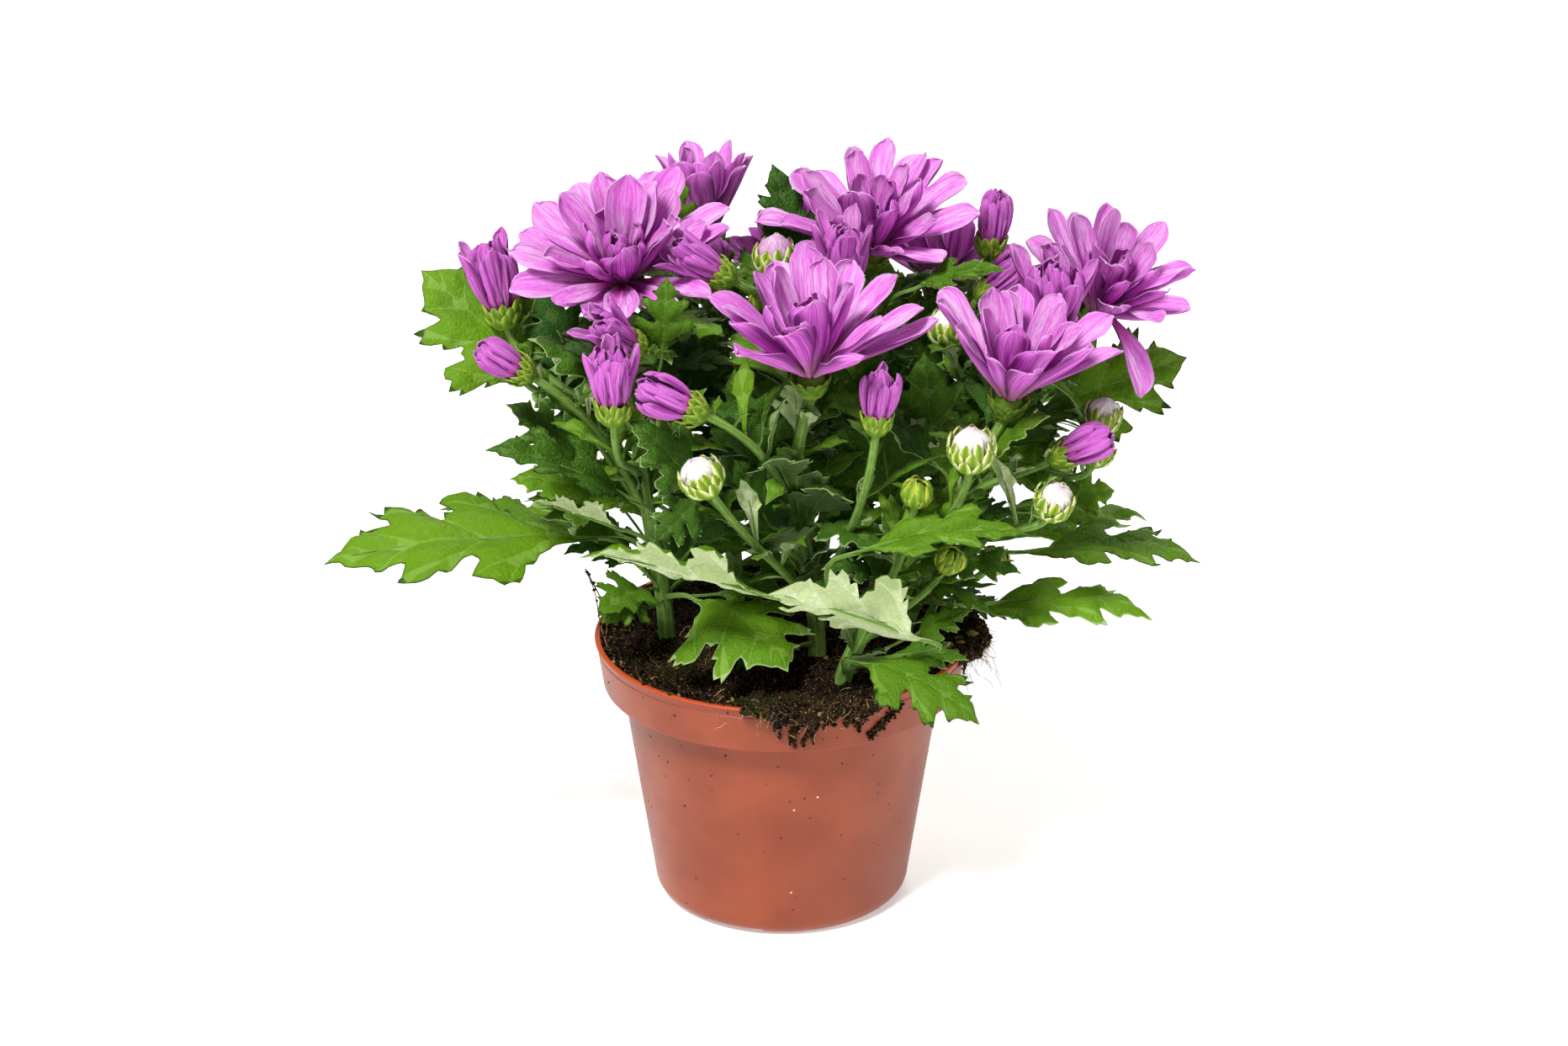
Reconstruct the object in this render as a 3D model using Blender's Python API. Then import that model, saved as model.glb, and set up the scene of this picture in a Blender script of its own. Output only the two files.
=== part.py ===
"""Pot chrysanthemum: a young spray chrysanthemum in a round plastic nursery pot.

Metres, +Z up. The origin is the centre of the pot's foot, where it stands, and -Y is the front.
Each bloom, each opening flower and each pale bud is its own solid, seated in the green cup of the
leafy stem that carries it. A leafy stem is one solid: stalks, side stalks, cups, leaves and green buds.
The stems stand in plain holes in the soil, and the soil fills the pot.
"""

import math
import random
from collections import namedtuple

import bmesh
import bpy
from mathutils import Matrix, Vector, noise
from mathutils.bvhtree import BVHTree

# Pot
POT_HEIGHT = 0.089
RIM_RADIUS = 0.060
COLLAR_RADIUS = 0.0575
COLLAR_HEIGHT = 0.0155
BODY_TOP_RADIUS = 0.0515
BASE_RADIUS = 0.0415
BASE_ROUND = 0.006
WALL = 0.0013
FLOOR_THICKNESS = 0.0016
BEAD = 0.0012
POT_SIDES = 28
CHANNELS = 4
CHANNEL_TURN = math.radians(67)
CHANNEL_WIDTH = 0.024
CHANNEL_HEIGHT = 0.0022
CENTRE_PAD_RADIUS = 0.017
DRAIN_RADIUS = 0.0035
DRAIN_RING_RADIUS = 0.029
DRAIN_SIDES = 8

# Soil
GAP = 0.0004
SOIL_BOTTOM = 0.0050
SOIL_TOP = 0.0845
SOIL_SIDES = 20
HOLE_SIDES = 5

# Plant
PETAL_THICKNESS = 0.0010
PETAL_CUPPING = 0.22
LEAF_THICKNESS = 0.0009
LEAF_DROOP = 0.35
PETIOLE_HALF = 0.0010
MAIN_RADIUS_FOOT = 0.0030
MAIN_RADIUS_TOP = 0.0016
MAIN_SIDES = 5
STALK_RADIUS = 0.0012
STALK_SIDES = 4
CLEARANCE = 0.0004
PETALS_FROM_OPENNESS = 0.28
TYPICAL_PETAL = 0.036
FLAT_ANGLE = math.radians(2)

# Green cups: rim radius, rim height, how far the bract tips rise, the hollow's depth, sides
BLOOM_CUP = (0.0062, 0.0048, 0.0018, 0.0040, 8)
OPENING_CUP = (0.0056, 0.0042, 0.0020, 0.0034, 6)
BUD_CUP = (0.0056, 0.0044, 0.0016, 0.0010, 8)
CUP_FOOT_RADIUS = 0.0013
CUP_FOOT_DEPTH = 0.0006

# Colours: base colour, roughness
TERRACOTTA = ((0.56, 0.16, 0.08), 0.40)
PEAT = ((0.035, 0.022, 0.014), 0.95)
LEAF_GREEN = ((0.07, 0.20, 0.03), 0.55)
ORCHID = ((0.52, 0.13, 0.50), 0.50)
PALE_PETAL = ((0.85, 0.80, 0.76), 0.50)

# Main stalks: the path from the foot in the soil to just under the cup of the top flower
STEMS = {
    "stem_left": [
        (-0.036, 0.004, 0.066), (-0.038, 0.003, 0.100), (-0.043, 0.000, 0.135), (-0.047, 0.001, 0.170),
    ],
    "stem_centre": [
        (0.011, -0.010, 0.066), (0.011, -0.010, 0.095), (0.006, -0.022, 0.135), (0.005, -0.038, 0.165),
    ],
    "stem_front_right": [
        (0.017, -0.036, 0.066), (0.020, -0.037, 0.092), (0.036, -0.038, 0.125), (0.054, -0.039, 0.152),
    ],
    "stem_back_centre": [
        (0.010, 0.022, 0.066), (0.013, 0.023, 0.110), (0.022, 0.023, 0.150), (0.030, 0.023, 0.180),
    ],
    "stem_right": [
        (0.036, 0.006, 0.066), (0.043, 0.006, 0.098), (0.062, 0.008, 0.135), (0.080, 0.011, 0.163),
    ],
    "stem_back_left": [
        (-0.014, 0.030, 0.066), (-0.016, 0.033, 0.105), (-0.019, 0.041, 0.150), (-0.021, 0.047, 0.178),
    ],
    "stem_back_right": [
        (0.030, 0.034, 0.066), (0.034, 0.040, 0.105), (0.042, 0.050, 0.140), (0.048, 0.058, 0.162),
    ],
}

# Flower heads. share is where the side stalk leaves the main one, 1 for the top flower. foot is the cup's
# foot. size is a bloom's petal length, and a scale for the others. openness runs from 0, tight, to 1, wide.
Head = namedtuple("Head", "kind stem share foot axis size openness")
BLOOM, OPENING, PALE_BUD, GREEN_BUD = "bloom", "opening", "pale_bud", "green_bud"
HEADS = {
    "bloom_left": Head(BLOOM, "stem_left", 1, (-0.048, 0.000, 0.202), (-0.12, -0.42, 0.90), 0.036, 0.80),
    "bloom_back_left": Head(
        BLOOM, "stem_back_left", 1, (-0.024, 0.048, 0.200), (-0.04, 0.00, 1.0), 0.030, 0.10,
    ),
    "bloom_top": Head(BLOOM, "stem_back_centre", 1, (0.028, 0.022, 0.204), (-0.05, -0.34, 0.94), 0.036, 0.76),
    "bloom_front": Head(BLOOM, "stem_centre", 1, (0.009, -0.045, 0.187), (-0.02, -0.20, 0.98), 0.037, 0.48),
    "bloom_front_right": Head(
        BLOOM, "stem_front_right", 1, (0.068, -0.040, 0.178), (0.10, -0.20, 0.97), 0.035, 0.34,
    ),
    "bloom_right": Head(BLOOM, "stem_right", 1, (0.098, 0.016, 0.187), (0.16, -0.36, 0.92), 0.032, 0.66),
    "bloom_back_right": Head(
        BLOOM, "stem_back_right", 1, (0.052, 0.064, 0.176), (0.25, 0.50, 0.83), 0.032, 0.85,
    ),
    "bloom_back": Head(
        BLOOM, "stem_back_right", 0.55, (0.006, 0.082, 0.170), (-0.05, 0.55, 0.83), 0.031, 0.80,
    ),
    "bloom_back_far_left": Head(
        BLOOM, "stem_back_left", 0.60, (-0.058, 0.060, 0.174), (-0.35, 0.50, 0.79), 0.031, 0.85,
    ),
    "opening_right": Head(
        OPENING, "stem_right", 0.70, (0.083, -0.005, 0.187), (0.02, -0.20, 0.98), 1.25, 0.60,
    ),
    "opening_far_left": Head(
        OPENING, "stem_left", 0.62, (-0.086, 0.006, 0.191), (-0.20, -0.05, 0.97), 1.15, 0.55,
    ),
    "opening_left_low": Head(
        OPENING, "stem_left", 0.45, (-0.076, -0.030, 0.187), (-0.78, -0.25, 0.58), 0.85, 0.10,
    ),
    "opening_under_bloom": Head(
        OPENING, "stem_left", 0.80, (-0.042, -0.040, 0.199), (-0.62, -0.50, 0.60), 0.88, 0.40,
    ),
    "opening_left_front": Head(
        OPENING, "stem_left", 0.52, (-0.050, -0.056, 0.182), (-0.02, -0.12, 0.99), 1.02, 0.40,
    ),
    "opening_front_left": Head(
        OPENING, "stem_centre", 0.50, (-0.023, -0.060, 0.186), (-0.84, -0.25, 0.50), 0.95, 0.25,
    ),
    "opening_middle": Head(
        OPENING, "stem_back_left", 0.88, (-0.015, -0.016, 0.213), (-0.82, -0.15, 0.56), 0.90, 0.30,
    ),
    "opening_behind_left": Head(
        OPENING, "stem_back_left", 0.75, (-0.024, 0.022, 0.196), (0.10, -0.15, 0.99), 0.85, 0.25,
    ),
    "opening_under_top": Head(
        OPENING, "stem_back_centre", 0.70, (0.019, -0.012, 0.204), (-0.02, -0.12, 0.99), 1.10, 0.40,
    ),
    "opening_front": Head(
        OPENING, "stem_centre", 0.24, (0.028, -0.062, 0.181), (0.08, -0.10, 0.99), 0.88, 0.10,
    ),
    "opening_behind_top": Head(
        OPENING, "stem_back_centre", 0.62, (0.066, 0.034, 0.204), (0.10, -0.05, 0.99), 0.95, 0.20,
    ),
    "opening_right_low": Head(
        OPENING, "stem_front_right", 0.72, (0.082, -0.041, 0.164), (0.80, -0.20, 0.50), 0.88, 0.15,
    ),
    "opening_right_back": Head(
        OPENING, "stem_right", 0.78, (0.062, 0.022, 0.194), (0.75, 0.10, 0.65), 0.80, 0.15,
    ),
    "opening_back_top": Head(
        OPENING, "stem_back_left", 0.66, (0.003, 0.043, 0.203), (0.06, 0.05, 1.0), 0.85, 0.10,
    ),
    "opening_far_right_back": Head(
        OPENING, "stem_back_right", 0.62, (0.088, 0.056, 0.166), (0.55, 0.30, 0.78), 0.95, 0.35,
    ),
    "opening_far_left_back": Head(
        OPENING, "stem_back_left", 0.45, (-0.086, 0.038, 0.164), (-0.55, 0.25, 0.80), 0.90, 0.20,
    ),
    "bud_white_left": Head(
        PALE_BUD, "stem_centre", 0.27, (-0.021, -0.064, 0.163), (-0.45, -0.25, 0.85), 1.10, 0,
    ),
    "bud_white_centre": Head(
        PALE_BUD, "stem_front_right", 0.48, (0.056, -0.062, 0.170), (0.05, -0.25, 0.97), 1.20, 0,
    ),
    "bud_white_right": Head(
        PALE_BUD, "stem_front_right", 0.62, (0.081, -0.052, 0.151), (0.20, -0.42, 0.88), 1.05, 0,
    ),
    "bud_far_right": Head(PALE_BUD, "stem_right", 0.80, (0.098, -0.026, 0.168), (0.10, -0.15, 0.98), 0.95, 0),
    "bud_behind_right": Head(
        PALE_BUD, "stem_right", 0.55, (0.097, -0.013, 0.152), (0.25, -0.15, 0.95), 0.90, 0,
    ),
    "bud_behind_front_right": Head(
        PALE_BUD, "stem_right", 0.60, (0.052, -0.008, 0.190), (-0.10, -0.15, 0.98), 1.05, 0,
    ),
    "bud_pink_top": Head(
        PALE_BUD, "stem_back_centre", 0.66, (-0.002, 0.008, 0.207), (0.00, -0.15, 0.98), 1.15, 0,
    ),
    "bud_back": Head(PALE_BUD, "stem_back_right", 0.45, (0.034, 0.092, 0.146), (0.10, 0.50, 0.85), 0.95, 0),
    "green_bud_centre": Head(
        GREEN_BUD, "stem_front_right", 0.36, (0.040, -0.059, 0.157), (0.10, -0.15, 0.98), 0.85, 0,
    ),
    "green_bud_left": Head(
        GREEN_BUD, "stem_left", 0.60, (-0.038, -0.044, 0.173), (-0.15, -0.20, 0.96), 0.75, 0,
    ),
    "green_bud_top": Head(
        GREEN_BUD, "stem_back_centre", 0.60, (-0.006, 0.000, 0.198), (-0.05, -0.10, 0.99), 0.70, 0,
    ),
    "green_bud_low": Head(
        GREEN_BUD, "stem_front_right", 0.30, (0.050, -0.049, 0.132), (0.35, -0.35, 0.86), 0.80, 0,
    ),
    "green_bud_low_right": Head(
        GREEN_BUD, "stem_right", 0.26, (0.064, -0.030, 0.124), (0.45, -0.35, 0.80), 0.80, 0,
    ),
}

# Leaves. share is where the petiole leaves the main stalk. foot and tip are the blade's ends, facing is the
# way its upper side looks, wide and arch are shares of its length, and fold lifts the edges, in degrees.
LeafRow = namedtuple("LeafRow", "stem share foot tip facing wide arch fold")
LEAVES = {
    "far_left_high": LeafRow(
        "stem_left", 0.45, (-0.072, 0.008, 0.168), (-0.113, 0.018, 0.205), (0.25, -0.85, 0.45), 0.92, 0.05, 6,
    ),
    "far_left_low": LeafRow(
        "stem_left", 0.27, (-0.058, -0.010, 0.1255), (-0.141, -0.035, 0.129),
        (0.05, -0.12, 0.99), 0.80, 0.04, 8,
    ),
    "left_mid_long": LeafRow(
        "stem_left", 0.40, (-0.044, -0.022, 0.142), (-0.089, -0.040, 0.168),
        (0.30, -0.30, 0.90), 0.60, 0.06, 22,
    ),
    "left_mid_blue": LeafRow(
        "stem_left", 0.55, (-0.060, -0.010, 0.148), (-0.084, -0.015, 0.173),
        (0.50, -0.60, 0.62), 0.80, 0.06, 14,
    ),
    "left_mid_broad": LeafRow(
        "stem_centre", 0.40, (-0.030, -0.040, 0.156), (-0.052, -0.045, 0.183),
        (0.35, -0.70, 0.62), 0.85, 0.05, 10,
    ),
    "left_under": LeafRow(
        "stem_left", 0.30, (-0.045, 0.002, 0.132), (-0.086, 0.005, 0.141), (0.20, -0.45, 0.87), 0.80, 0.05, 8,
    ),
    "left_pale": LeafRow(
        "stem_left", 0.34, (-0.048, -0.022, 0.133), (-0.079, -0.030, 0.147),
        (0.15, 0.55, 0.82), 0.62, 0.02, 30,
    ),
    "left_inner": LeafRow(
        "stem_left", 0.70, (-0.030, -0.020, 0.166), (-0.010, -0.050, 0.180),
        (0.30, -0.40, 0.86), 0.70, 0.08, 10,
    ),
    "left_upright": LeafRow(
        "stem_left", 0.78, (-0.036, -0.036, 0.196), (-0.034, -0.041, 0.222),
        (0.05, -0.95, 0.30), 0.80, 0.05, 8,
    ),
    "front_pale_left": LeafRow(
        "stem_centre", 0.27, (-0.001, -0.054, 0.124), (-0.060, -0.066, 0.145),
        (0.20, 0.62, 0.75), 0.58, 0.02, 24,
    ),
    "front_pale_right": LeafRow(
        "stem_front_right", 0.27, (0.046, -0.060, 0.112), (-0.004, -0.076, 0.136),
        (0.28, 0.78, 0.52), 0.86, 0.02, 22,
    ),
    "front_low_left": LeafRow(
        "stem_left", 0.25, (-0.027, -0.014, 0.106), (0.002, -0.049, 0.099),
        (0.00, -0.20, 0.97), 1.20, 0.12, -6,
    ),
    "front_low_right": LeafRow(
        "stem_front_right", 0.24, (0.022, -0.052, 0.102), (0.060, -0.074, 0.092),
        (0.20, -0.35, 0.92), 0.80, 0.12, -4,
    ),
    "right_low_soil": LeafRow(
        "stem_front_right", 0.25, (0.030, -0.044, 0.098), (0.056, -0.052, 0.102),
        (0.05, -0.30, 0.95), 0.60, 0.10, 4,
    ),
    "right_low_long": LeafRow(
        "stem_right", 0.27, (0.057, -0.025, 0.109), (0.115, -0.035, 0.112),
        (-0.05, -0.08, 1.00), 0.62, 0.05, 6,
    ),
    "right_mid_long": LeafRow(
        "stem_right", 0.36, (0.074, -0.006, 0.119), (0.132, -0.012, 0.120),
        (-0.05, -0.02, 1.00), 0.70, 0.06, 10,
    ),
    "right_high": LeafRow(
        "stem_right", 0.55, (0.080, 0.022, 0.155), (0.130, 0.030, 0.172), (-0.25, -0.85, 0.45), 0.80, 0.04, 6,
    ),
    "right_mid_flat": LeafRow(
        "stem_right", 0.42, (0.080, 0.006, 0.130), (0.108, 0.010, 0.132), (-0.20, -0.80, 0.56), 0.85, 0.04, 6,
    ),
    "right_front_long": LeafRow(
        "stem_front_right", 0.30, (0.020, -0.058, 0.140), (0.074, -0.066, 0.151),
        (0.00, -0.40, 0.92), 0.50, 0.08, 20,
    ),
    "hanging_blue": LeafRow(
        "stem_centre", 0.36, (-0.024, -0.050, 0.156), (-0.038, -0.062, 0.146),
        (0.35, -0.80, 0.48), 0.90, 0.05, 6,
    ),
    "top_dark": LeafRow(
        "stem_back_centre", 0.78, (0.008, 0.030, 0.201), (-0.002, 0.034, 0.236),
        (0.05, -0.95, 0.30), 0.62, 0.04, 6,
    ),
    "top_small": LeafRow(
        "stem_back_left", 0.90, (-0.030, 0.026, 0.214), (-0.034, 0.026, 0.234),
        (0.05, -0.95, 0.30), 0.60, 0.04, 6,
    ),
    "top_right_olive": LeafRow(
        "stem_back_centre", 0.76, (0.040, -0.004, 0.206), (0.068, -0.012, 0.216),
        (-0.10, -0.50, 0.85), 0.42, 0.10, 12,
    ),
    "centre_dark": LeafRow(
        "stem_back_centre", 0.40, (0.035, -0.014, 0.133), (0.029, -0.020, 0.179),
        (0.00, -0.95, 0.30), 0.95, 0.04, 8,
    ),
    "centre_right_dark": LeafRow(
        "stem_right", 0.50, (0.048, -0.010, 0.146), (0.044, -0.012, 0.188),
        (0.00, -0.95, 0.30), 0.90, 0.04, 8,
    ),
    "centre_left_dark": LeafRow(
        "stem_centre", 0.60, (-0.008, -0.024, 0.150), (-0.016, -0.030, 0.186),
        (0.10, -0.93, 0.35), 0.85, 0.05, 8,
    ),
    "right_upper": LeafRow(
        "stem_back_centre", 0.72, (0.052, 0.010, 0.178), (0.066, 0.006, 0.196),
        (0.10, -0.80, 0.58), 0.60, 0.06, 10,
    ),
    "soil_left_a": LeafRow(
        "stem_left", 0.24, (-0.041, -0.012, 0.103), (-0.056, -0.028, 0.105),
        (0.05, -0.40, 0.91), 0.80, 0.08, 8,
    ),
    "soil_left_b": LeafRow(
        "stem_left", 0.25, (-0.024, -0.008, 0.104), (-0.004, -0.020, 0.110),
        (-0.05, -0.40, 0.91), 0.75, 0.08, 8,
    ),
    "inner_left": LeafRow(
        "stem_left", 0.50, (-0.034, 0.010, 0.150), (-0.024, 0.010, 0.190), (0.00, -0.93, 0.35), 0.90, 0.05, 8,
    ),
    "inner_far_left": LeafRow(
        "stem_left", 0.58, (-0.058, 0.010, 0.158), (-0.062, 0.012, 0.192), (0.20, -0.90, 0.40), 0.85, 0.05, 8,
    ),
    "inner_right": LeafRow(
        "stem_right", 0.56, (0.070, 0.016, 0.152), (0.070, 0.020, 0.188), (0.00, -0.93, 0.35), 0.85, 0.05, 8,
    ),
    "inner_low_centre": LeafRow(
        "stem_back_centre", 0.28, (0.004, 0.008, 0.118), (-0.014, -0.004, 0.148),
        (0.20, -0.85, 0.45), 0.85, 0.05, 8,
    ),
    "inner_low_right": LeafRow(
        "stem_right", 0.30, (0.044, -0.008, 0.116), (0.038, -0.022, 0.150),
        (0.00, -0.90, 0.45), 0.85, 0.05, 8,
    ),
    "inner_low_left": LeafRow(
        "stem_left", 0.30, (-0.030, 0.000, 0.116), (-0.014, 0.004, 0.142), (0.00, -0.85, 0.50), 0.85, 0.05, 8,
    ),
    "inner_front": LeafRow(
        "stem_centre", 0.50, (-0.004, -0.034, 0.140), (-0.014, -0.046, 0.166),
        (0.20, -0.85, 0.45), 0.80, 0.05, 8,
    ),
    "inner_back_left": LeafRow(
        "stem_back_left", 0.50, (-0.030, 0.030, 0.140), (-0.040, 0.028, 0.180),
        (0.10, -0.90, 0.40), 0.80, 0.05, 8,
    ),
    "inner_back_right": LeafRow(
        "stem_back_centre", 0.46, (0.034, 0.032, 0.140), (0.050, 0.034, 0.178),
        (-0.10, -0.90, 0.40), 0.80, 0.05, 8,
    ),
    "centre_back_left": LeafRow(
        "stem_back_centre", 0.42, (0.008, 0.010, 0.142), (-0.002, 0.002, 0.188),
        (0.05, -0.93, 0.35), 0.85, 0.05, 8,
    ),
    "centre_back_right": LeafRow(
        "stem_back_centre", 0.50, (0.022, 0.010, 0.152), (0.020, 0.000, 0.194),
        (0.00, -0.93, 0.35), 0.80, 0.05, 8,
    ),
    "centre_low_back": LeafRow(
        "stem_back_centre", 0.32, (0.026, 0.008, 0.124), (0.028, 0.000, 0.168),
        (0.00, -0.93, 0.35), 0.85, 0.05, 8,
    ),
    "low_right_front": LeafRow(
        "stem_front_right", 0.26, (0.040, -0.038, 0.104), (0.058, -0.044, 0.116),
        (0.00, -0.60, 0.80), 0.70, 0.06, 8,
    ),
    "back_low_left": LeafRow(
        "stem_back_left", 0.26, (-0.036, 0.044, 0.112), (-0.088, 0.078, 0.114),
        (-0.10, 0.30, 0.95), 0.72, 0.08, 8,
    ),
    "back_low_right": LeafRow(
        "stem_back_right", 0.26, (0.046, 0.056, 0.112), (0.092, 0.096, 0.112),
        (0.10, 0.30, 0.95), 0.72, 0.08, 8,
    ),
    "back_low": LeafRow(
        "stem_back_left", 0.30, (-0.006, 0.062, 0.116), (-0.012, 0.124, 0.112),
        (0.00, 0.30, 0.95), 0.72, 0.08, 8,
    ),
    "back_mid_left": LeafRow(
        "stem_back_left", 0.42, (-0.048, 0.058, 0.134), (-0.092, 0.096, 0.148),
        (-0.40, 0.50, 0.77), 0.78, 0.05, 8,
    ),
    "back_mid": LeafRow(
        "stem_back_right", 0.40, (0.020, 0.072, 0.132), (0.018, 0.122, 0.146),
        (0.00, 0.60, 0.80), 0.78, 0.05, 8,
    ),
    "back_mid_right": LeafRow(
        "stem_back_right", 0.44, (0.066, 0.058, 0.134), (0.112, 0.082, 0.150),
        (0.40, 0.45, 0.80), 0.78, 0.05, 8,
    ),
    "back_high_left": LeafRow(
        "stem_back_left", 0.62, (-0.038, 0.064, 0.148), (-0.056, 0.104, 0.160),
        (-0.20, 0.70, 0.68), 0.72, 0.05, 8,
    ),
    "back_high_right": LeafRow(
        "stem_right", 0.60, (0.086, 0.030, 0.158), (0.118, 0.058, 0.166), (0.30, 0.50, 0.81), 0.72, 0.05, 8,
    ),
    "back_high": LeafRow(
        "stem_back_right", 0.62, (0.026, 0.078, 0.150), (-0.010, 0.112, 0.160),
        (0.00, 0.75, 0.66), 0.70, 0.05, 8,
    ),
    "side_right_low": LeafRow(
        "stem_right", 0.28, (0.062, 0.018, 0.112), (0.120, 0.040, 0.114), (0.05, 0.10, 0.99), 0.70, 0.08, 8,
    ),
    "side_left_low": LeafRow(
        "stem_left", 0.28, (-0.058, 0.018, 0.112), (-0.112, 0.040, 0.116), (-0.05, 0.10, 0.99), 0.70, 0.08, 8,
    ),
}

# A leaf's outline on one side of the midrib, in shares of its length: along it, and out from it
LEAF_FOOT_HALF = 0.020
LEAF_EDGE = [
    (0.20, 0.14), (0.40, 0.42), (0.52, 0.34), (0.46, 0.12),
    (0.62, 0.26), (0.78, 0.32), (0.73, 0.11), (0.88, 0.12),
]
LEAF_MIDRIB = [0.30, 0.52, 0.74, 0.88]
LEAF_LOBES = [(0.38, 0.20), (0.64, 0.18)]
# The triangles of one side. f is the foot's edge, t the tip, e the outline, r the midrib, l a lobe's middle.
LEAF_TRIANGLES = (
    "f r0 e1, r0 r1 e1, r1 l1 e1, l1 e2 e1, l1 e3 e2, l1 e4 e3, r1 e4 l1, r1 r2 e4, r2 l2 e4, "
    "l2 e5 e4, l2 e6 e5, l2 e7 e6, r2 e7 l2, r2 r3 e7, r3 r4 e7, r4 e8 e7, r4 t e8"
)

# Furled petals: rings of (radius, height, ridge depth as a share, rise of every second point), then both ends
BLOOM_CORE = ((0.0040, 0.0066, 0, 0), (0.0056, 0.0125, 0, 0), (0.0056, 0.0185, 0.36, -0.0024))
BLOOM_CORE_ENDS = (0.0063, 0.0145)
OPENING_CORE = ((0.0036, 0.0058, 0, 0), (0.0060, 0.0120, 0.18, 0), (0.0048, 0.0220, 0.36, -0.0030))
OPENING_CORE_ENDS = (0.0054, 0.0160)
# Round buds: rings of (radius, height), then foot and top
PALE_BALL = ((0.0022, 0.0035), (0.0050, 0.0066), (0.0038, 0.0094))
PALE_BALL_ENDS = (0.0031, 0.0105)
GREEN_BALL = ((0.0046, 0.0030), (0.0040, 0.0066))
GREEN_BALL_ENDS = (-0.0010, 0.0084)

# Whorls of a bloom: petals, rise and curl in degrees, length and width as shares, root radius and height
BLOOM_WHORLS = ((8, 0, -4, 1.00, 0.30, 0.0034, 0.0078), (5, 22, 4, 0.82, 0.28, 0.0030, 0.0108))
RISE_TIGHT = 62
RISE_DROP = 46
# Outer petals of a half-open head at scale 1: petals, rise when tight, curl, length, width, root place
OPENING_WHORL = (4, 76, 10, 0.0200, 0.0066, 0.0030, 0.0078)
OPENING_DROP = 26
# A petal's width along its length, both in shares
PETAL_STATIONS = ((0.0, 0.15), (0.50, 0.95), (0.86, 0.78), (1.0, 0.0))

# What a leaf and a petal try, in degrees, until they are clear of the rest of the plant
LEAF_TURNS = (0, 6, -6, 12, -12, 18, -18, 26, -26, 36, -36, 48, -48, 62, -62, 80, -80)
LEAF_TILTS = (0, 7, -7, 14, -14, 22)
PETAL_BENDS = (0, 6, -6, 12, -12, 18, 25, 33, 42, -18, 52)


def curve_point(points, share):
    """A point on the smooth curve through the points, at a share of its course."""
    spans = len(points) - 1
    place = min(max(share, 0.0), 1.0) * spans
    i = min(int(place), spans - 1)
    t = place - i
    p1, p2 = Vector(points[i]), Vector(points[i + 1])
    p0 = Vector(points[i - 1]) if i > 0 else 2 * p1 - p2
    p3 = Vector(points[i + 2]) if i + 2 < len(points) else 2 * p2 - p1
    slope, bow, twist = p2 - p0, 2 * p0 - 5 * p1 + 4 * p2 - p3, 3 * p1 - p0 - 3 * p2 + p3
    return 0.5 * (2 * p1 + slope * t + bow * t**2 + twist * t**3)


def eased_path(start, start_way, end, end_way, count):
    """Points of a curve that leaves start along start_way and reaches end along end_way."""
    reach = (end - start).length
    a, b = start_way.normalized() * reach, end_way.normalized() * reach
    found = []
    for i in range(count):
        t = i / (count - 1)
        from_start = start * (2 * t**3 - 3 * t * t + 1) + a * (t**3 - 2 * t * t + t)
        found.append(from_start + end * (3 * t * t - 2 * t**3) + b * (t**3 - t * t))
    return found


def sides_of(way, hint):
    """Two directions square to way: to its right, and as near to hint as it goes."""
    up = (hint - way * hint.dot(way)).normalized()
    return way.cross(up).normalized(), up


def ring_of(radius, height, sides, place=None, turn=0.0):
    """Points round the axis, moved by the matrix place."""
    angles = [turn + 2 * math.pi * k / sides for k in range(sides)]
    points = [Vector((radius * math.cos(a), radius * math.sin(a), height)) for a in angles]
    return [place @ p for p in points] if place else points


def loft(rings, start_point=None, end_point=None):
    """A closed skin over rings of equal count, with a cap or a point at each end: (points, faces)."""
    points = [p for ring in rings for p in ring]
    count, faces = len(rings[0]), []
    for a in range(0, (len(rings) - 1) * count, count):
        for i in range(count):
            j = (i + 1) % count
            faces += [(a + i, a + j, a + count + j), (a + i, a + count + j, a + count + i)]
    last = (len(rings) - 1) * count
    if start_point is None:
        faces.append(tuple(reversed(range(count))))
    else:
        points.append(start_point)
        faces += [(len(points) - 1, (i + 1) % count, i) for i in range(count)]
    if end_point is None:
        faces.append(tuple(last + i for i in range(count)))
    else:
        points.append(end_point)
        faces += [(len(points) - 1, last + i, last + (i + 1) % count) for i in range(count)]
    return points, faces


def tube(path, radii, sides):
    """A tube of few sides along the path."""
    rings, hint = [], Vector((0.3, 1.0, 0.2))
    for i, centre in enumerate(path):
        way = (path[min(i + 1, len(path) - 1)] - path[max(i - 1, 0)]).normalized()
        side, hint = sides_of(way, hint)
        place = Matrix.Translation(centre) @ Matrix((side, hint, side.cross(hint))).transposed().to_4x4()
        rings.append(ring_of(radii[i], 0.0, sides, place))
    return loft(rings)


def head_place(head):
    """The matrix that stands a flower head on its foot, along its axis."""
    turned = Vector(head.axis).to_track_quat("Z", "Y").to_matrix().to_4x4()
    return Matrix.Translation(head.foot) @ turned


def star_ring(place, radius, height, dip, rise, sides):
    """A ring whose every second point lies deeper by the share dip and higher by rise."""
    ring = ring_of(radius, height, sides)
    for point in ring[1::2]:
        point.xy *= 1 - dip
        point.z += rise
    return [place @ point for point in ring]


def cup(place, radius, height, tooth, hollow, sides):
    """The green cup under a flower head, with bract tips round its rim."""
    foot = ring_of(CUP_FOOT_RADIUS, -CUP_FOOT_DEPTH, sides, place)
    rings = [foot, star_ring(place, radius, height, 0, tooth, sides)]
    return loft(rings, place @ Vector((0, 0, -2 * CUP_FOOT_DEPTH)), place @ Vector((0, 0, hollow)))


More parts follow.
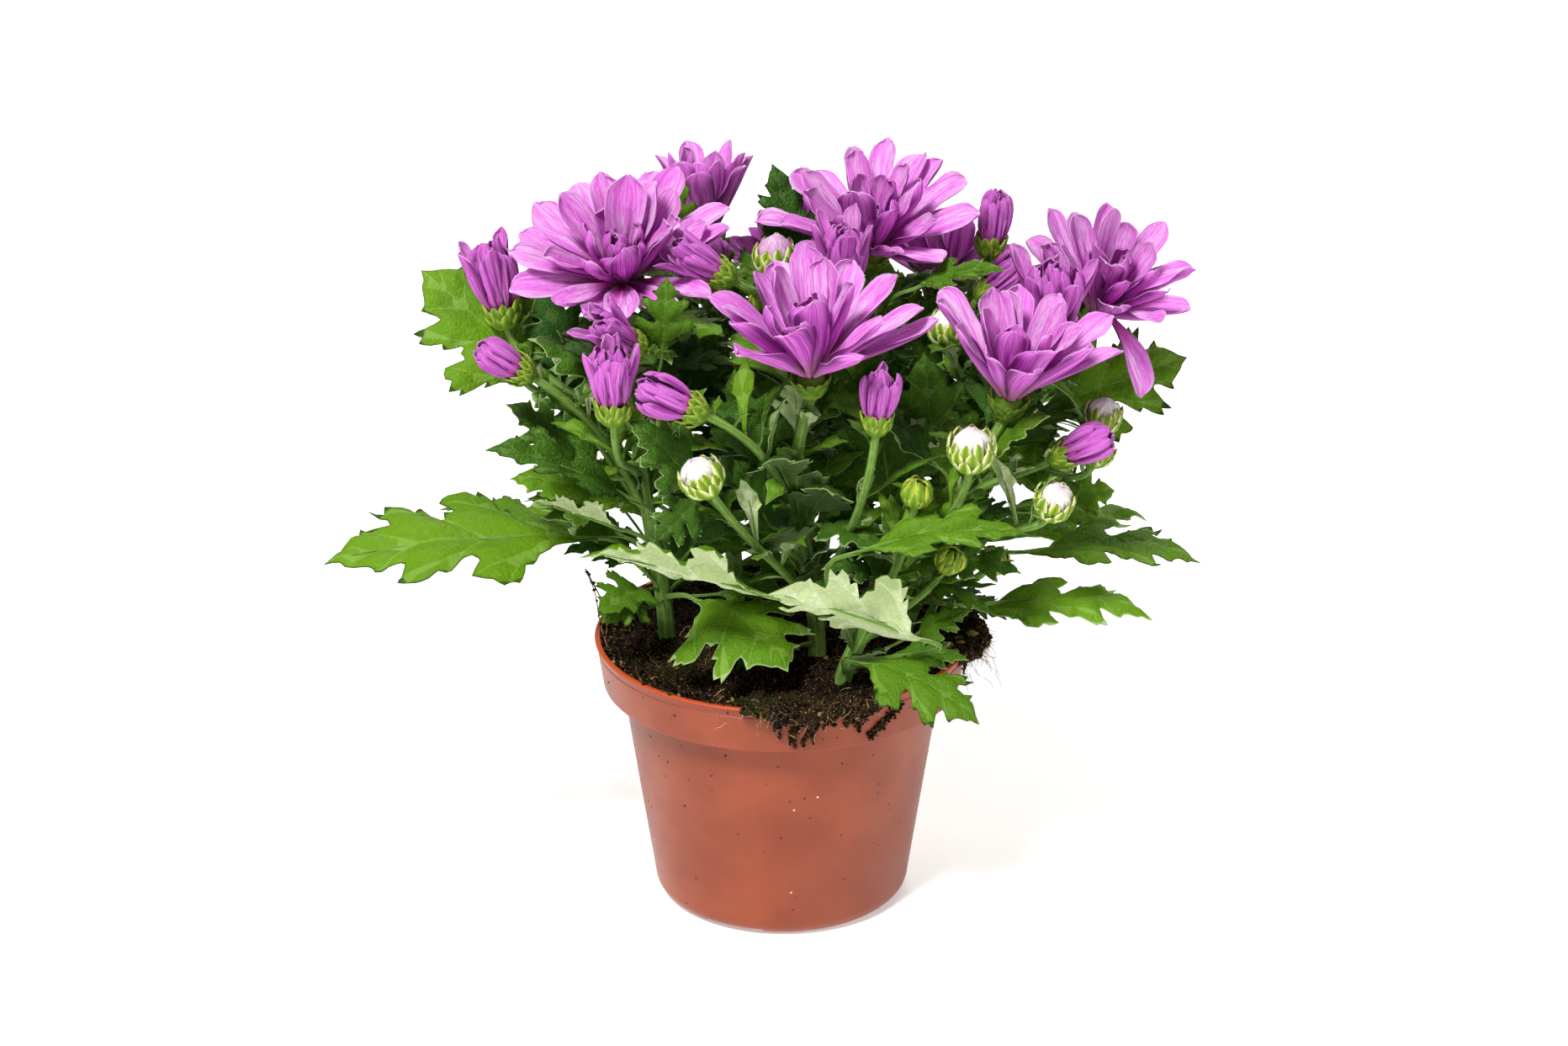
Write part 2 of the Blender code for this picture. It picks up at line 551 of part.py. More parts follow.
def furled(place, rings, foot, top, sides):
    """Petals still rolled together: a ridged body of (radius, height, dip, rise) rings."""
    made = [star_ring(place, *ring, sides) for ring in rings]
    return loft(made, place @ Vector((0, 0, foot)), place @ Vector((0, 0, top)))


def petal(place, azimuth, root, rise, curl, length, width):
    """A spoon-shaped blade, flat above and keeled below. rise is its angle above the head's own plane."""
    outward = Vector((math.cos(azimuth), math.sin(azimuth), 0))
    across = Vector((-math.sin(azimuth), math.cos(azimuth), 0))
    up = Vector((0, 0, 1))
    spot = outward * root[0] + up * root[1]
    rings, before = [], 0.0
    for share, wide in PETAL_STATIONS:
        bend = rise + curl * (share + before) / 2
        spot = spot + (outward * math.cos(bend) + up * math.sin(bend)) * (share - before) * length
        here = rise + curl * share
        normal = up * math.cos(here) - outward * math.sin(here)
        half = width * wide / 2
        if wide:
            edge = normal * (half * PETAL_CUPPING)
            keel = normal * -PETAL_THICKNESS
            corners = (spot - across * half + edge, spot + across * half + edge, spot + keel)
            rings.append([place @ corner for corner in corners])
        before = share
    return loft(rings, None, place @ spot)


def bloom_petals(name, head):
    """What each petal of a bloom is made from: azimuth, root, rise, curl, length and width."""
    rng = random.Random(name)
    found = []
    for whorl, (count, lift, curl, long, wide, radius, height) in enumerate(BLOOM_WHORLS):
        for k in range(count):
            azimuth = 2 * math.pi * (k + 0.5 * whorl + rng.uniform(-0.08, 0.08)) / count
            rise = RISE_TIGHT - RISE_DROP * head.openness + lift + rng.uniform(-5, 5)
            length = head.size * long * rng.uniform(0.93, 1.04)
            found.append((azimuth, (radius, height), rise, curl, length, head.size * wide))
    return found


def opening_petals(name, head):
    """What the outer petals of a half-open head are made from. A tight one has none that stand away."""
    if head.openness < PETALS_FROM_OPENNESS:
        return []
    rng = random.Random(name)
    count, lift, curl, long, wide, radius, height = OPENING_WHORL
    found = []
    for k in range(count):
        azimuth = 2 * math.pi * (k + rng.uniform(-0.1, 0.1)) / count
        rise = lift - OPENING_DROP * head.openness + rng.uniform(-3, 3)
        root = (radius * head.size, height * head.size)
        length = head.size * long * rng.uniform(0.92, 1.03)
        found.append((azimuth, root, rise, curl, length, head.size * wide))
    return found


def core_of(head, place):
    """The flower's own middle: furled petals in a bloom or a half-open head, a ball in a pale bud."""
    if head.kind == BLOOM:
        return furled(place @ Matrix.Scale(head.size / TYPICAL_PETAL, 4), BLOOM_CORE, *BLOOM_CORE_ENDS, 10)
    if head.kind == OPENING:
        return furled(place @ Matrix.Scale(head.size, 4), OPENING_CORE, *OPENING_CORE_ENDS, 12)
    return round_ball(place @ Matrix.Scale(head.size, 4), PALE_BALL, *PALE_BALL_ENDS, 8)


def round_ball(place, profile, foot, top, sides):
    """A turned body of few faces."""
    made = [ring_of(radius, height, sides, place) for radius, height in profile]
    return loft(made, place @ Vector((0, 0, foot)), place @ Vector((0, 0, top)))


def green_of(head, place):
    """The green shape that a head adds to its stem."""
    if head.kind == BLOOM:
        return cup(place, *BLOOM_CUP)
    small = place @ Matrix.Scale(head.size, 4)
    if head.kind == OPENING:
        return cup(small, *OPENING_CUP)
    if head.kind == PALE_BUD:
        return cup(small, *BUD_CUP)
    return round_ball(small, GREEN_BALL, *GREEN_BALL_ENDS, 7)


class Leaf:
    """A lobed blade on its petiole, laid from its foot to its tip."""

    def __init__(self, row, stalk):
        self.start = stalk(row.share)
        self.foot, self.tip, self.facing = Vector(row.foot), Vector(row.tip), Vector(row.facing)
        self.wide, self.arch, self.fold = row.wide, row.arch, math.radians(row.fold)

    def turned(self, turn, tilt):
        """The same leaf, swung about the upright line through its root and tilted there."""
        made = object.__new__(Leaf)
        made.__dict__.update(self.__dict__)
        away = self.tip - self.start
        side = Vector((away.y, -away.x, 0)).normalized()
        swing = Matrix.Rotation(math.radians(turn), 3, "Z") @ Matrix.Rotation(math.radians(tilt), 3, side)
        made.foot = self.start + swing @ (self.foot - self.start)
        made.tip = self.start + swing @ (self.tip - self.start)
        made.facing = swing @ self.facing
        return made

    def axes(self):
        forward = (self.tip - self.foot).normalized()
        right, up = sides_of(forward, self.facing)
        return forward, right, up

    def at(self, along, out):
        """The blade's middle surface: along the midrib and out to its right, in shares of the length."""
        forward, right, up = self.axes()
        length = (self.tip - self.foot).length
        reach = out * self.wide * length
        lift = self.arch * length * 4 * along * (1 - along) + abs(reach) * math.sin(self.fold)
        droop = reach * reach / length * LEAF_DROOP
        flat = forward * along * length + right * reach * math.cos(self.fold)
        return self.foot + flat + up * (lift - droop)

    def petiole(self):
        """Rings of four points: right, top, left and bottom. The last one opens into the blade."""
        forward, _, up = self.axes()
        path = eased_path(self.start, self.foot - self.start, self.foot, forward, 3)
        rings = []
        for i, centre in enumerate(path):
            way = (path[min(i + 1, 2)] - path[max(i - 1, 0)]).normalized()
            side, rise = sides_of(way, up)
            wide = PETIOLE_HALF if i < 2 else LEAF_FOOT_HALF * (self.tip - self.foot).length
            deep = PETIOLE_HALF if i < 2 else LEAF_THICKNESS / 2
            offsets = (side * wide, rise * deep, side * -wide, rise * -deep)
            rings.append([centre + offset for offset in offsets])
        return rings

    def solid(self):
        """(points, faces of the petiole, faces of the blade's upper and lower sides)."""
        _, _, up = self.axes()
        points = [p for ring in self.petiole() for p in ring]
        stalk_faces = [(3, 2, 1, 0)]
        for a in (0, 4):
            for k in range(4):
                j = (k + 1) % 4
                stalk_faces += [(a + k, a + j, a + 4 + j), (a + k, a + 4 + j, a + 4 + k)]
        index = {"f+": 8, "r0^": 9, "f-": 10, "r0v": 11, "t": 12}
        points.append(self.tip.copy())

        def add(key, point):
            index[key] = len(points)
            points.append(point)

        for side, mark in ((1, "+"), (-1, "-")):
            for n, (along, out) in enumerate(LEAF_EDGE):
                add(f"e{n + 1}{mark}", self.at(along, side * out))
            for n, (along, out) in enumerate(LEAF_LOBES):
                add(f"l{n + 1}{mark}^", self.at(along, side * out) + up * LEAF_THICKNESS / 2)
                add(f"l{n + 1}{mark}v", self.at(along, side * out) - up * LEAF_THICKNESS / 2)
        for n, along in enumerate(LEAF_MIDRIB):
            add(f"r{n + 1}^", self.at(along, 0.0) + up * LEAF_THICKNESS * 0.6)
            add(f"r{n + 1}v", self.at(along, 0.0) - up * LEAF_THICKNESS * 0.6)
        blade_faces = []
        for side, mark in ((1, "+"), (-1, "-")):
            for face in "^v":
                full = {"f": mark, "e": mark, "t": "", "r": face, "l": mark + face}
                for names in LEAF_TRIANGLES.split(", "):
                    corners = [index[n + full[n[0]]] for n in names.split()]
                    blade_faces.append(tuple(corners if (side > 0) == (face == "v") else reversed(corners)))
        return points, stalk_faces, blade_faces


def tree_of(points, faces, swell=0.0):
    """A search tree of a shape, swollen along its normals."""
    shape = bmesh.new()
    corners = [shape.verts.new(p) for p in points]
    for face in faces:
        shape.faces.new([corners[i] for i in face])
    if swell:
        bmesh.ops.recalc_face_normals(shape, faces=shape.faces)
        shape.normal_update()
        for corner, normal in [(v, v.normal.copy()) for v in shape.verts]:
            corner.co += normal * swell
    tree = BVHTree.FromBMesh(shape)
    shape.free()
    return tree


def stalk_course(stem):
    """The main stalk's course to the cup of its top flower, as a function of the share."""
    top = next(head.foot for head in HEADS.values() if head.stem == stem and head.share == 1)
    points = STEMS[stem] + [top]
    return lambda share: curve_point(points, share)


def side_stalk(course, head):
    """The stalk from the main one to a side flower."""
    start, end = course(head.share), Vector(head.foot)
    way = (course(head.share + 0.02) - course(head.share - 0.02)).normalized()
    path = eased_path(start, way * 0.5 + (end - start).normalized() * 0.8, end, Vector(head.axis), 4)
    return tube(path, [STALK_RADIUS * 1.2] + [STALK_RADIUS] * 3, STALK_SIDES)


def main_stalk(course):
    count = 6
    path = [course(i / (count - 1)) for i in range(count)]
    radii = [MAIN_RADIUS_FOOT + (MAIN_RADIUS_TOP - MAIN_RADIUS_FOOT) * i / (count - 1) for i in range(count)]
    return tube(path, radii, MAIN_SIDES)


class Plant:
    """The plant's shapes by node, and a search tree of each to keep them clear of each other."""

    def __init__(self):
        self.courses = {stem: stalk_course(stem) for stem in STEMS}
        self.greens = {stem: [] for stem in STEMS}
        self.flowers = {}
        self.trees = []
        self.blades = []
        self.add_stalks()
        self.add_petals()
        rings = [ring_of(RIM_RADIUS + GAP, height, POT_SIDES) for height in (0, POT_HEIGHT + GAP)]
        self.keep("pot", [], loft(rings))
        self.keep("soil", [], soil_body())
        self.add_leaves()

    def keep(self, node, shapes, shape):
        shapes.append(shape)
        self.trees.append((node, tree_of(*shape)))

    def others(self, node):
        return [tree for owner, tree in self.trees if owner != node]

    def add_stalks(self):
        for stem, course in self.courses.items():
            self.keep(stem, self.greens[stem], main_stalk(course))
        for name, head in HEADS.items():
            place = head_place(head)
            self.keep(head.stem, self.greens[head.stem], green_of(head, place))
            if head.share < 1:
                self.keep(head.stem, self.greens[head.stem], side_stalk(self.courses[head.stem], head))
            if head.kind != GREEN_BUD:
                self.flowers[name] = []
                self.keep(name, self.flowers[name], core_of(head, place))

    def add_petals(self):
        for kind, rule in ((OPENING, opening_petals), (BLOOM, bloom_petals)):
            for name, head in HEADS.items():
                if head.kind == kind:
                    for facts in rule(name, head):
                        self.keep_clear_petal(name, head_place(head), *facts)

    def keep_clear_petal(self, name, place, azimuth, root, rise, curl, length, width):
        others = self.others(name)
        for bend in PETAL_BENDS:
            shape = petal(place, azimuth, root, math.radians(rise + bend), math.radians(curl), length, width)
            tree = tree_of(*shape, CLEARANCE)
            if not any(tree.overlap(other) for other in others):
                self.keep(name, self.flowers[name], shape)
                return
        print("no room for a petal of", name, round(math.degrees(azimuth)))

    def add_leaves(self):
        for name, row in LEAVES.items():
            leaf = self.settled(Leaf(row, self.courses[row.stem]), row.stem)
            if leaf:
                points, stalk_faces, blade_faces = leaf.solid()
                self.keep(row.stem, self.greens[row.stem], (points, stalk_faces + blade_faces))
                self.blades.append(tree_of(points, blade_faces))
            else:
                print("no room for leaf", name)

    def settled(self, leaf, stem):
        """The leaf, bent clear of every other node, and of its own stem's other leaves if it goes."""
        others, best, fewest = self.others(stem), None, None
        for tilt in LEAF_TILTS:
            for turn in LEAF_TURNS:
                trial = leaf.turned(turn, tilt)
                points, stalk_faces, blade_faces = trial.solid()
                tree = tree_of(points, stalk_faces + blade_faces, CLEARANCE)
                if any(tree.overlap(other) for other in others):
                    continue
                blade = tree_of(points, blade_faces)
                crossings = sum(len(blade.overlap(other)) for other in self.blades)
                if not crossings:
                    return trial
                if best is None or crossings < fewest:
                    best, fewest = trial, crossings
        return best


def material(name, look):
    made = bpy.data.materials.get(name) or bpy.data.materials.new(name)
    made.use_nodes = True
    shader = made.node_tree.nodes["Principled BSDF"]
    shader.inputs["Base Color"].default_value = (*look[0], 1.0)
    shader.inputs["Roughness"].default_value = look[1]
    shader.inputs["Metallic"].default_value = 0.0
    return made


def mesh_object(name, shape, look=None):
    mesh = bpy.data.meshes.new(name)
    mesh.from_pydata([tuple(p) for p in shape[0]], [], shape[1])
    made = bpy.data.objects.new(name, mesh)
    bpy.context.scene.collection.objects.link(made)
    turned = bmesh.new()
    turned.from_mesh(mesh)
    bmesh.ops.recalc_face_normals(turned, faces=turned.faces)
    turned.to_mesh(mesh)
    turned.free()
    if look:
        mesh.materials.append(look)
    return made


def merge_flat_faces(mesh):
    """Undoes the splits that a Boolean leaves inside what is all but one flat face."""
    shape = bmesh.new()
    shape.from_mesh(mesh)
    bmesh.ops.dissolve_limit(shape, angle_limit=FLAT_ANGLE, verts=shape.verts, edges=shape.edges)
    bmesh.ops.triangulate(shape, faces=shape.faces)
    shape.to_mesh(mesh)
    shape.free()


def combined(name, base, shapes, operation, look):
    """base joined with, or cut by, the shapes in one Boolean, which is applied."""
    made = mesh_object(name, base, look)
    group = bpy.data.collections.new(name + "_parts")
    bpy.context.scene.collection.children.link(group)
    for i, shape in enumerate(shapes):
        piece = mesh_object(f"{name}_piece_{i}", shape)
        bpy.context.scene.collection.objects.unlink(piece)
        group.objects.link(piece)
    boolean = made.modifiers.new("join", "BOOLEAN")
    boolean.operation, boolean.operand_type = operation, "COLLECTION"
    boolean.collection = group
    bpy.context.view_layer.update()
    mesh = bpy.data.meshes.new_from_object(made.evaluated_get(bpy.context.evaluated_depsgraph_get()))
    made.modifiers.clear()
    made.data = mesh
    mesh.name = name
    merge_flat_faces(mesh)
    for piece in list(group.objects):
        bpy.data.objects.remove(piece)
    bpy.data.collections.remove(group)
    return made


def pot_outside():
    """The outer wall's section, from the foot's edge to the lip."""
    collar_foot = POT_HEIGHT - COLLAR_HEIGHT
    rounded = []
    for angle in (0, math.radians(45), math.radians(90)):
        across, up = BASE_ROUND * math.sin(angle), BASE_ROUND * (1 - math.cos(angle))
        rounded.append((BASE_RADIUS - BASE_ROUND + across, up))
    return rounded + [
        (BODY_TOP_RADIUS, collar_foot),
        (COLLAR_RADIUS - BEAD / 2, collar_foot),
        (COLLAR_RADIUS, collar_foot + BEAD / 2),
        (RIM_RADIUS - BEAD / 2, POT_HEIGHT - BEAD * 1.6),
        (RIM_RADIUS, POT_HEIGHT - BEAD),
        (RIM_RADIUS - BEAD / 4, POT_HEIGHT),
    ]


def pot_inside():
    """The inner wall's section, from the lip to the floor."""
    collar_foot, floor = POT_HEIGHT - COLLAR_HEIGHT, CHANNEL_HEIGHT + FLOOR_THICKNESS
    return [
        (RIM_RADIUS - BEAD / 2 - WALL, POT_HEIGHT),
        (COLLAR_RADIUS - WALL, collar_foot + WALL * 1.5),
        (BODY_TOP_RADIUS - WALL, collar_foot + WALL),
        (BASE_RADIUS - WALL, BASE_ROUND),
        (BASE_RADIUS - BASE_ROUND, floor),
    ]


def make_pot(look):
    """A turned wall with a collar. Channels cross the foot, and drain holes open into them."""
    rings = [ring_of(radius, height, POT_SIDES) for radius, height in pot_outside() + pot_inside()]
    turned = loft(rings, Vector((0, 0, 0)), Vector((0, 0, CHANNEL_HEIGHT + FLOOR_THICKNESS)))
    cutters = []
    for k in range(CHANNELS):
        turn = Matrix.Rotation(CHANNEL_TURN + 2 * math.pi * k / CHANNELS, 4, "Z")
        cutters += [channel(turn), drain_hole(turn)]
    return combined("pot", turned, cutters, "DIFFERENCE", look)


def channel(turn):
    """A bar that cuts one shallow water channel, from the centre pad out past the foot."""
    half, slope = CHANNEL_WIDTH / 2, CHANNEL_HEIGHT
    foot, top = -CHANNEL_HEIGHT, CHANNEL_HEIGHT
    section = ((-half, foot), (half, foot), (half - slope, top), (slope - half, top))
    ends = (CENTRE_PAD_RADIUS, BASE_RADIUS + WALL)
    return loft([[turn @ Vector((x, y, z)) for y, z in section] for x in ends])


def drain_hole(turn):
    place = turn @ Matrix.Translation((DRAIN_RING_RADIUS, 0, 0))
    reach = CHANNEL_HEIGHT + FLOOR_THICKNESS * 2
    return loft([ring_of(DRAIN_RADIUS, height, DRAIN_SIDES, place) for height in (-reach, reach)])


def soil_height(x, y):
    """The soil's top: uneven, and heaped towards the front right."""
    heap = math.exp(-((x - 0.020) ** 2 + (y + 0.044) ** 2) / 0.0006) * 0.0045
    return SOIL_TOP + heap + 0.0018 * noise.noise(Vector((x * 90, y * 90, 0.3)))


# Soil heaped over the rim: stations of (azimuth in degrees, how far it hangs down, how far it stands out)
SPILLS = (
    (
        (-101, 0.003, 0.002), (-91, 0.009, 0.005), (-82, 0.011, 0.006),
        (-74, 0.006, 0.004), (-65, 0.009, 0.005), (-56, 0.003, 0.002),
    ),
    ((-20, 0.003, 0.002), (-10, 0.008, 0.008), (-1, 0.010, 0.009), (11, 0.003, 0.003)),
)


def spill(stations):
    """A saddle of soil that leaves the root ball, crosses the rim and hangs down outside it."""
    free = GAP + RIM_RADIUS * (1 - math.cos(math.radians(5)))
    top, outside = POT_HEIGHT + GAP, RIM_RADIUS + free
    rings = []
    for azimuth, hang, out in stations:
        section = (
            (0.0555, SOIL_TOP - 0.003),
            (0.0565, top),
            (outside, top),
            (outside, top - hang),
            (outside + out, top - hang * 0.6),
            (outside + out * 0.6, top + 0.002 + out * 0.2),
            (0.0520, SOIL_TOP + 0.003 + out * 0.3),
        )
        turn = Matrix.Rotation(math.radians(azimuth), 3, "Z")
        rings.append([turn @ Vector((radius, 0, height)) for radius, height in section])
    return loft(rings)


def soil_body():
    """The root ball, which follows the pot's inside."""
    collar_foot = POT_HEIGHT - COLLAR_HEIGHT
    snug = math.cos(math.pi / SOIL_SIDES) * 0.999
    wall = (
        (BASE_RADIUS - BASE_ROUND - GAP, SOIL_BOTTOM),
        (BASE_RADIUS - WALL - GAP, BASE_ROUND + GAP * 3),
        (BODY_TOP_RADIUS - WALL - GAP, collar_foot + WALL + GAP * 2),
        (COLLAR_RADIUS - WALL - GAP * 2, collar_foot + WALL * 1.5 + GAP * 3),
    )
    rings = [ring_of(radius * snug, height, SOIL_SIDES) for radius, height in wall]
    for radius in (0.0565 * snug, 0.044, 0.028):
        rings.append([Vector((p.x, p.y, soil_height(p.x, p.y))) for p in ring_of(radius, 0.0, SOIL_SIDES)])
    return loft(rings, Vector((0, 0, SOIL_BOTTOM)), Vector((0, 0, soil_height(0, 0))))


def make_soil(look):
    """The root ball, heaped over the rim in two places, with a plain hole for each stem."""
    heaped = combined("heaped", soil_body(), [spill(row) for row in SPILLS], "UNION", look)
    shape = [v.co.copy() for v in heaped.data.vertices], [tuple(f.vertices) for f in heaped.data.polygons]
    bpy.data.objects.remove(heaped)
    holes = []
    for stem in STEMS:
        course = stalk_course(stem)
        foot, above = course(0.0), course(0.24)
        path = [foot - (above - foot).normalized() * 0.003, above + (above - foot) * 0.2]
        holes.append(tube(path, [MAIN_RADIUS_FOOT + GAP * 3] * 2, HOLE_SIDES))
    return combined("soil", shape, holes, "DIFFERENCE", look)


def main():
    for old in list(bpy.data.objects):
        bpy.data.objects.remove(old)
    make_pot(material("terracotta_plastic", TERRACOTTA))
    make_soil(material("peat", PEAT))
    green = material("leaf", LEAF_GREEN)
    orchid = material("petal", ORCHID)
    pale = material("pale_petal", PALE_PETAL)
    plant = Plant()
    for stem, shapes in plant.greens.items():
        combined(stem, shapes[0], shapes[1:], "UNION", green)
    for name, shapes in plant.flowers.items():
        look = pale if HEADS[name].kind == PALE_BUD else orchid
        if len(shapes) == 1:
            mesh_object(name, shapes[0], look)
        else:
            combined(name, shapes[0], shapes[1:], "UNION", look)


main()
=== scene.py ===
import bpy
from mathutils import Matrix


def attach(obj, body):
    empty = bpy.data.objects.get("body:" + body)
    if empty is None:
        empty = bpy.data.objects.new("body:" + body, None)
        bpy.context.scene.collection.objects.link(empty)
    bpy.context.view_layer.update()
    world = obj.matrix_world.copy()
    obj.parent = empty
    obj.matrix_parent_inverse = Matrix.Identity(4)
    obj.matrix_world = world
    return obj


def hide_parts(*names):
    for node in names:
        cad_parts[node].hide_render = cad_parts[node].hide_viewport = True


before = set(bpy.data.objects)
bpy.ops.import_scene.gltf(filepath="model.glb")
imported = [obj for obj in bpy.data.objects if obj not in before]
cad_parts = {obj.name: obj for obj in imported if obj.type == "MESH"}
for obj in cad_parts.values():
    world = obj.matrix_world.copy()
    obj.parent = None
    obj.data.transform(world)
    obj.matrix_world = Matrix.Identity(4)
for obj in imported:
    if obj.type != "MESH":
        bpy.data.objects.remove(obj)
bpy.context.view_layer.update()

# The finished surface of a pot chrysanthemum: its pot, soil, stalks, leaves, bracts and petals, each
# built over the frame's plain solid of the same name. Metres, +Z up, and -Y is the front.

import copy
import math
import random
from collections import namedtuple

import bmesh
import bpy
import numpy as np
from mathutils import Matrix, Vector, noise
from mathutils.bvhtree import BVHTree
from mathutils.geometry import delaunay_2d_cdt
from mathutils.kdtree import KDTree

# Camera, floor and lights. Each light has its place, its size and its power.
CAMERA_PLACE = (0.0008, -1.0963, 0.5771)
CAMERA_DIP = 22.34
LENS, SENSOR = 85.75, 36.0
FLOOR_HALF = 6.0
FLOOR_GLOW = 0.36
SKY_STRENGTH = 0.24
LIGHT_AIM = (0, 0, 0.12)
LIGHTS = (
    ("key", (-0.55, -1.0, 1.6), 0.40, 45.0),
    ("fill", (1.1, -0.8, 0.7), 1.0, 4.0),
    ("rim", (0.3, 1.2, 1.3), 0.8, 16.0),
)

# Pot
POT_HEIGHT = 0.089
RIM_RADIUS = 0.060
COLLAR_RADIUS = 0.0575
COLLAR_HEIGHT = 0.0155
BODY_TOP_RADIUS = 0.0515
BASE_RADIUS = 0.0415
BASE_ROUND = 0.006
WALL = 0.0013
FLOOR_THICKNESS = 0.0016
BEAD = 0.0012
POT_SIDES = 144
POT_SHARP = 35
CHANNELS = 4
CHANNEL_TURN = 67
CHANNEL_WIDTH = 0.024
CHANNEL_HEIGHT = 0.0022
CENTRE_PAD_RADIUS = 0.017
DRAIN_RADIUS = 0.0035
DRAIN_RING_RADIUS = 0.029

# Soil
GAP = 0.0004
SOIL_BOTTOM = 0.0050
SOIL_TOP = 0.0845
SOIL_SIDES = 150
SOIL_RINGS = 60
SOIL_SNUG = 0.999 * math.cos(math.pi / 20)
SOIL_TOP_RADIUS = 0.0565
CENTRE_RADIUS = 0.0004
SOIL_CRUMBS = 800
RIM_CRUMBS = 600
STREAK_CRUMBS = 150
WALL_GRAINS = 110
SPILL_CRUMBS = 420
SPILL_FIBRES = 70
SPILL_STRANDS = 26
STRAND_STEP = 0.00024
TOP_FIBRES = 40

# Stalks
PETIOLE_HALF = 0.0010
MAIN_RADIUS_FOOT = 0.0030
MAIN_RADIUS_TOP = 0.0016
STALK_RADIUS = 0.0012
MAIN_STEPS = 36
STALK_STEPS = 20

# Leaves. The relief is in shares of the leaf's length, and each wave has its height, scale and shift.
LEAF_THICKNESS = 0.0005
LEAF_DROOP = 0.35
VEIN_REACH = 0.035
EDGE_REACH = 0.026
LEAF_BULGE = 0.022
LEAF_EDGE_CURLS = (0.028, 0.050)
LEAF_WAVES = ((0.040, 3.4, 0), (0.012, 12.0, 1))
COMMON_LEAF = 0.045
COMMON_ARCH = 0.05
COMMON_FOLD = 8

# Petals and bracts. The rises, in degrees, are of a tight bloom's outermost petals, what full openness
# takes off them, and the steepest one. The drops are what it takes off the petals of a half-open head.
PETAL_THICKNESS = 0.0005
BRACT_THICKNESS = 0.0007
LONG_PETAL = 0.024
BROAD_PETAL = 0.005
RISE_TIGHT = 62
RISE_DROP = 46
RISE_MOST = 84
OPENING_DROP = 8
LOOSE_DROP = 26
LOOSE_OPENNESS = 0.28

# Turns and bends in degrees, tried in this order until a leaf or petal is clear, and the space that holds
# the tips of the added leaves
LEAF_TURNS = (0, 6, -6, 12, -12, 18, -18, 26, -26, 36, -36, 48, -48, 62, -62, 80, -80)
LEAF_TILTS = (0, 7, -7, 14, -14, 22)
LEAF_TRIES = 14
PETAL_BENDS = (0, 6, -6, 12, -12, 18, 25, 33, 42, -18, 52)
MOST_CROSSINGS = 6
MORE_LEAVES_REACH = ((-0.082, 0.094), (-0.058, 0.100), (0.094, 0.206))

# Main stalks, in millimetres: the path from the foot in the soil to just under the top flower's cup
STEMS = {
    "stem_left": ((-36, 4, 66), (-38, 3, 100), (-43, 0, 135), (-47, 1, 170)),
    "stem_centre": ((11, -10, 66), (11, -10, 95), (6, -22, 135), (5, -38, 165)),
    "stem_front_right": ((17, -36, 66), (20, -37, 92), (36, -38, 125), (54, -39, 152)),
    "stem_back_centre": ((10, 22, 66), (13, 23, 110), (22, 23, 150), (30, 23, 180)),
    "stem_right": ((36, 6, 66), (43, 6, 98), (62, 8, 135), (80, 11, 163)),
    "stem_back_left": ((-14, 30, 66), (-16, 33, 105), (-19, 41, 150), (-21, 47, 178)),
    "stem_back_right": ((30, 34, 66), (34, 40, 105), (42, 50, 140), (48, 58, 162)),
}

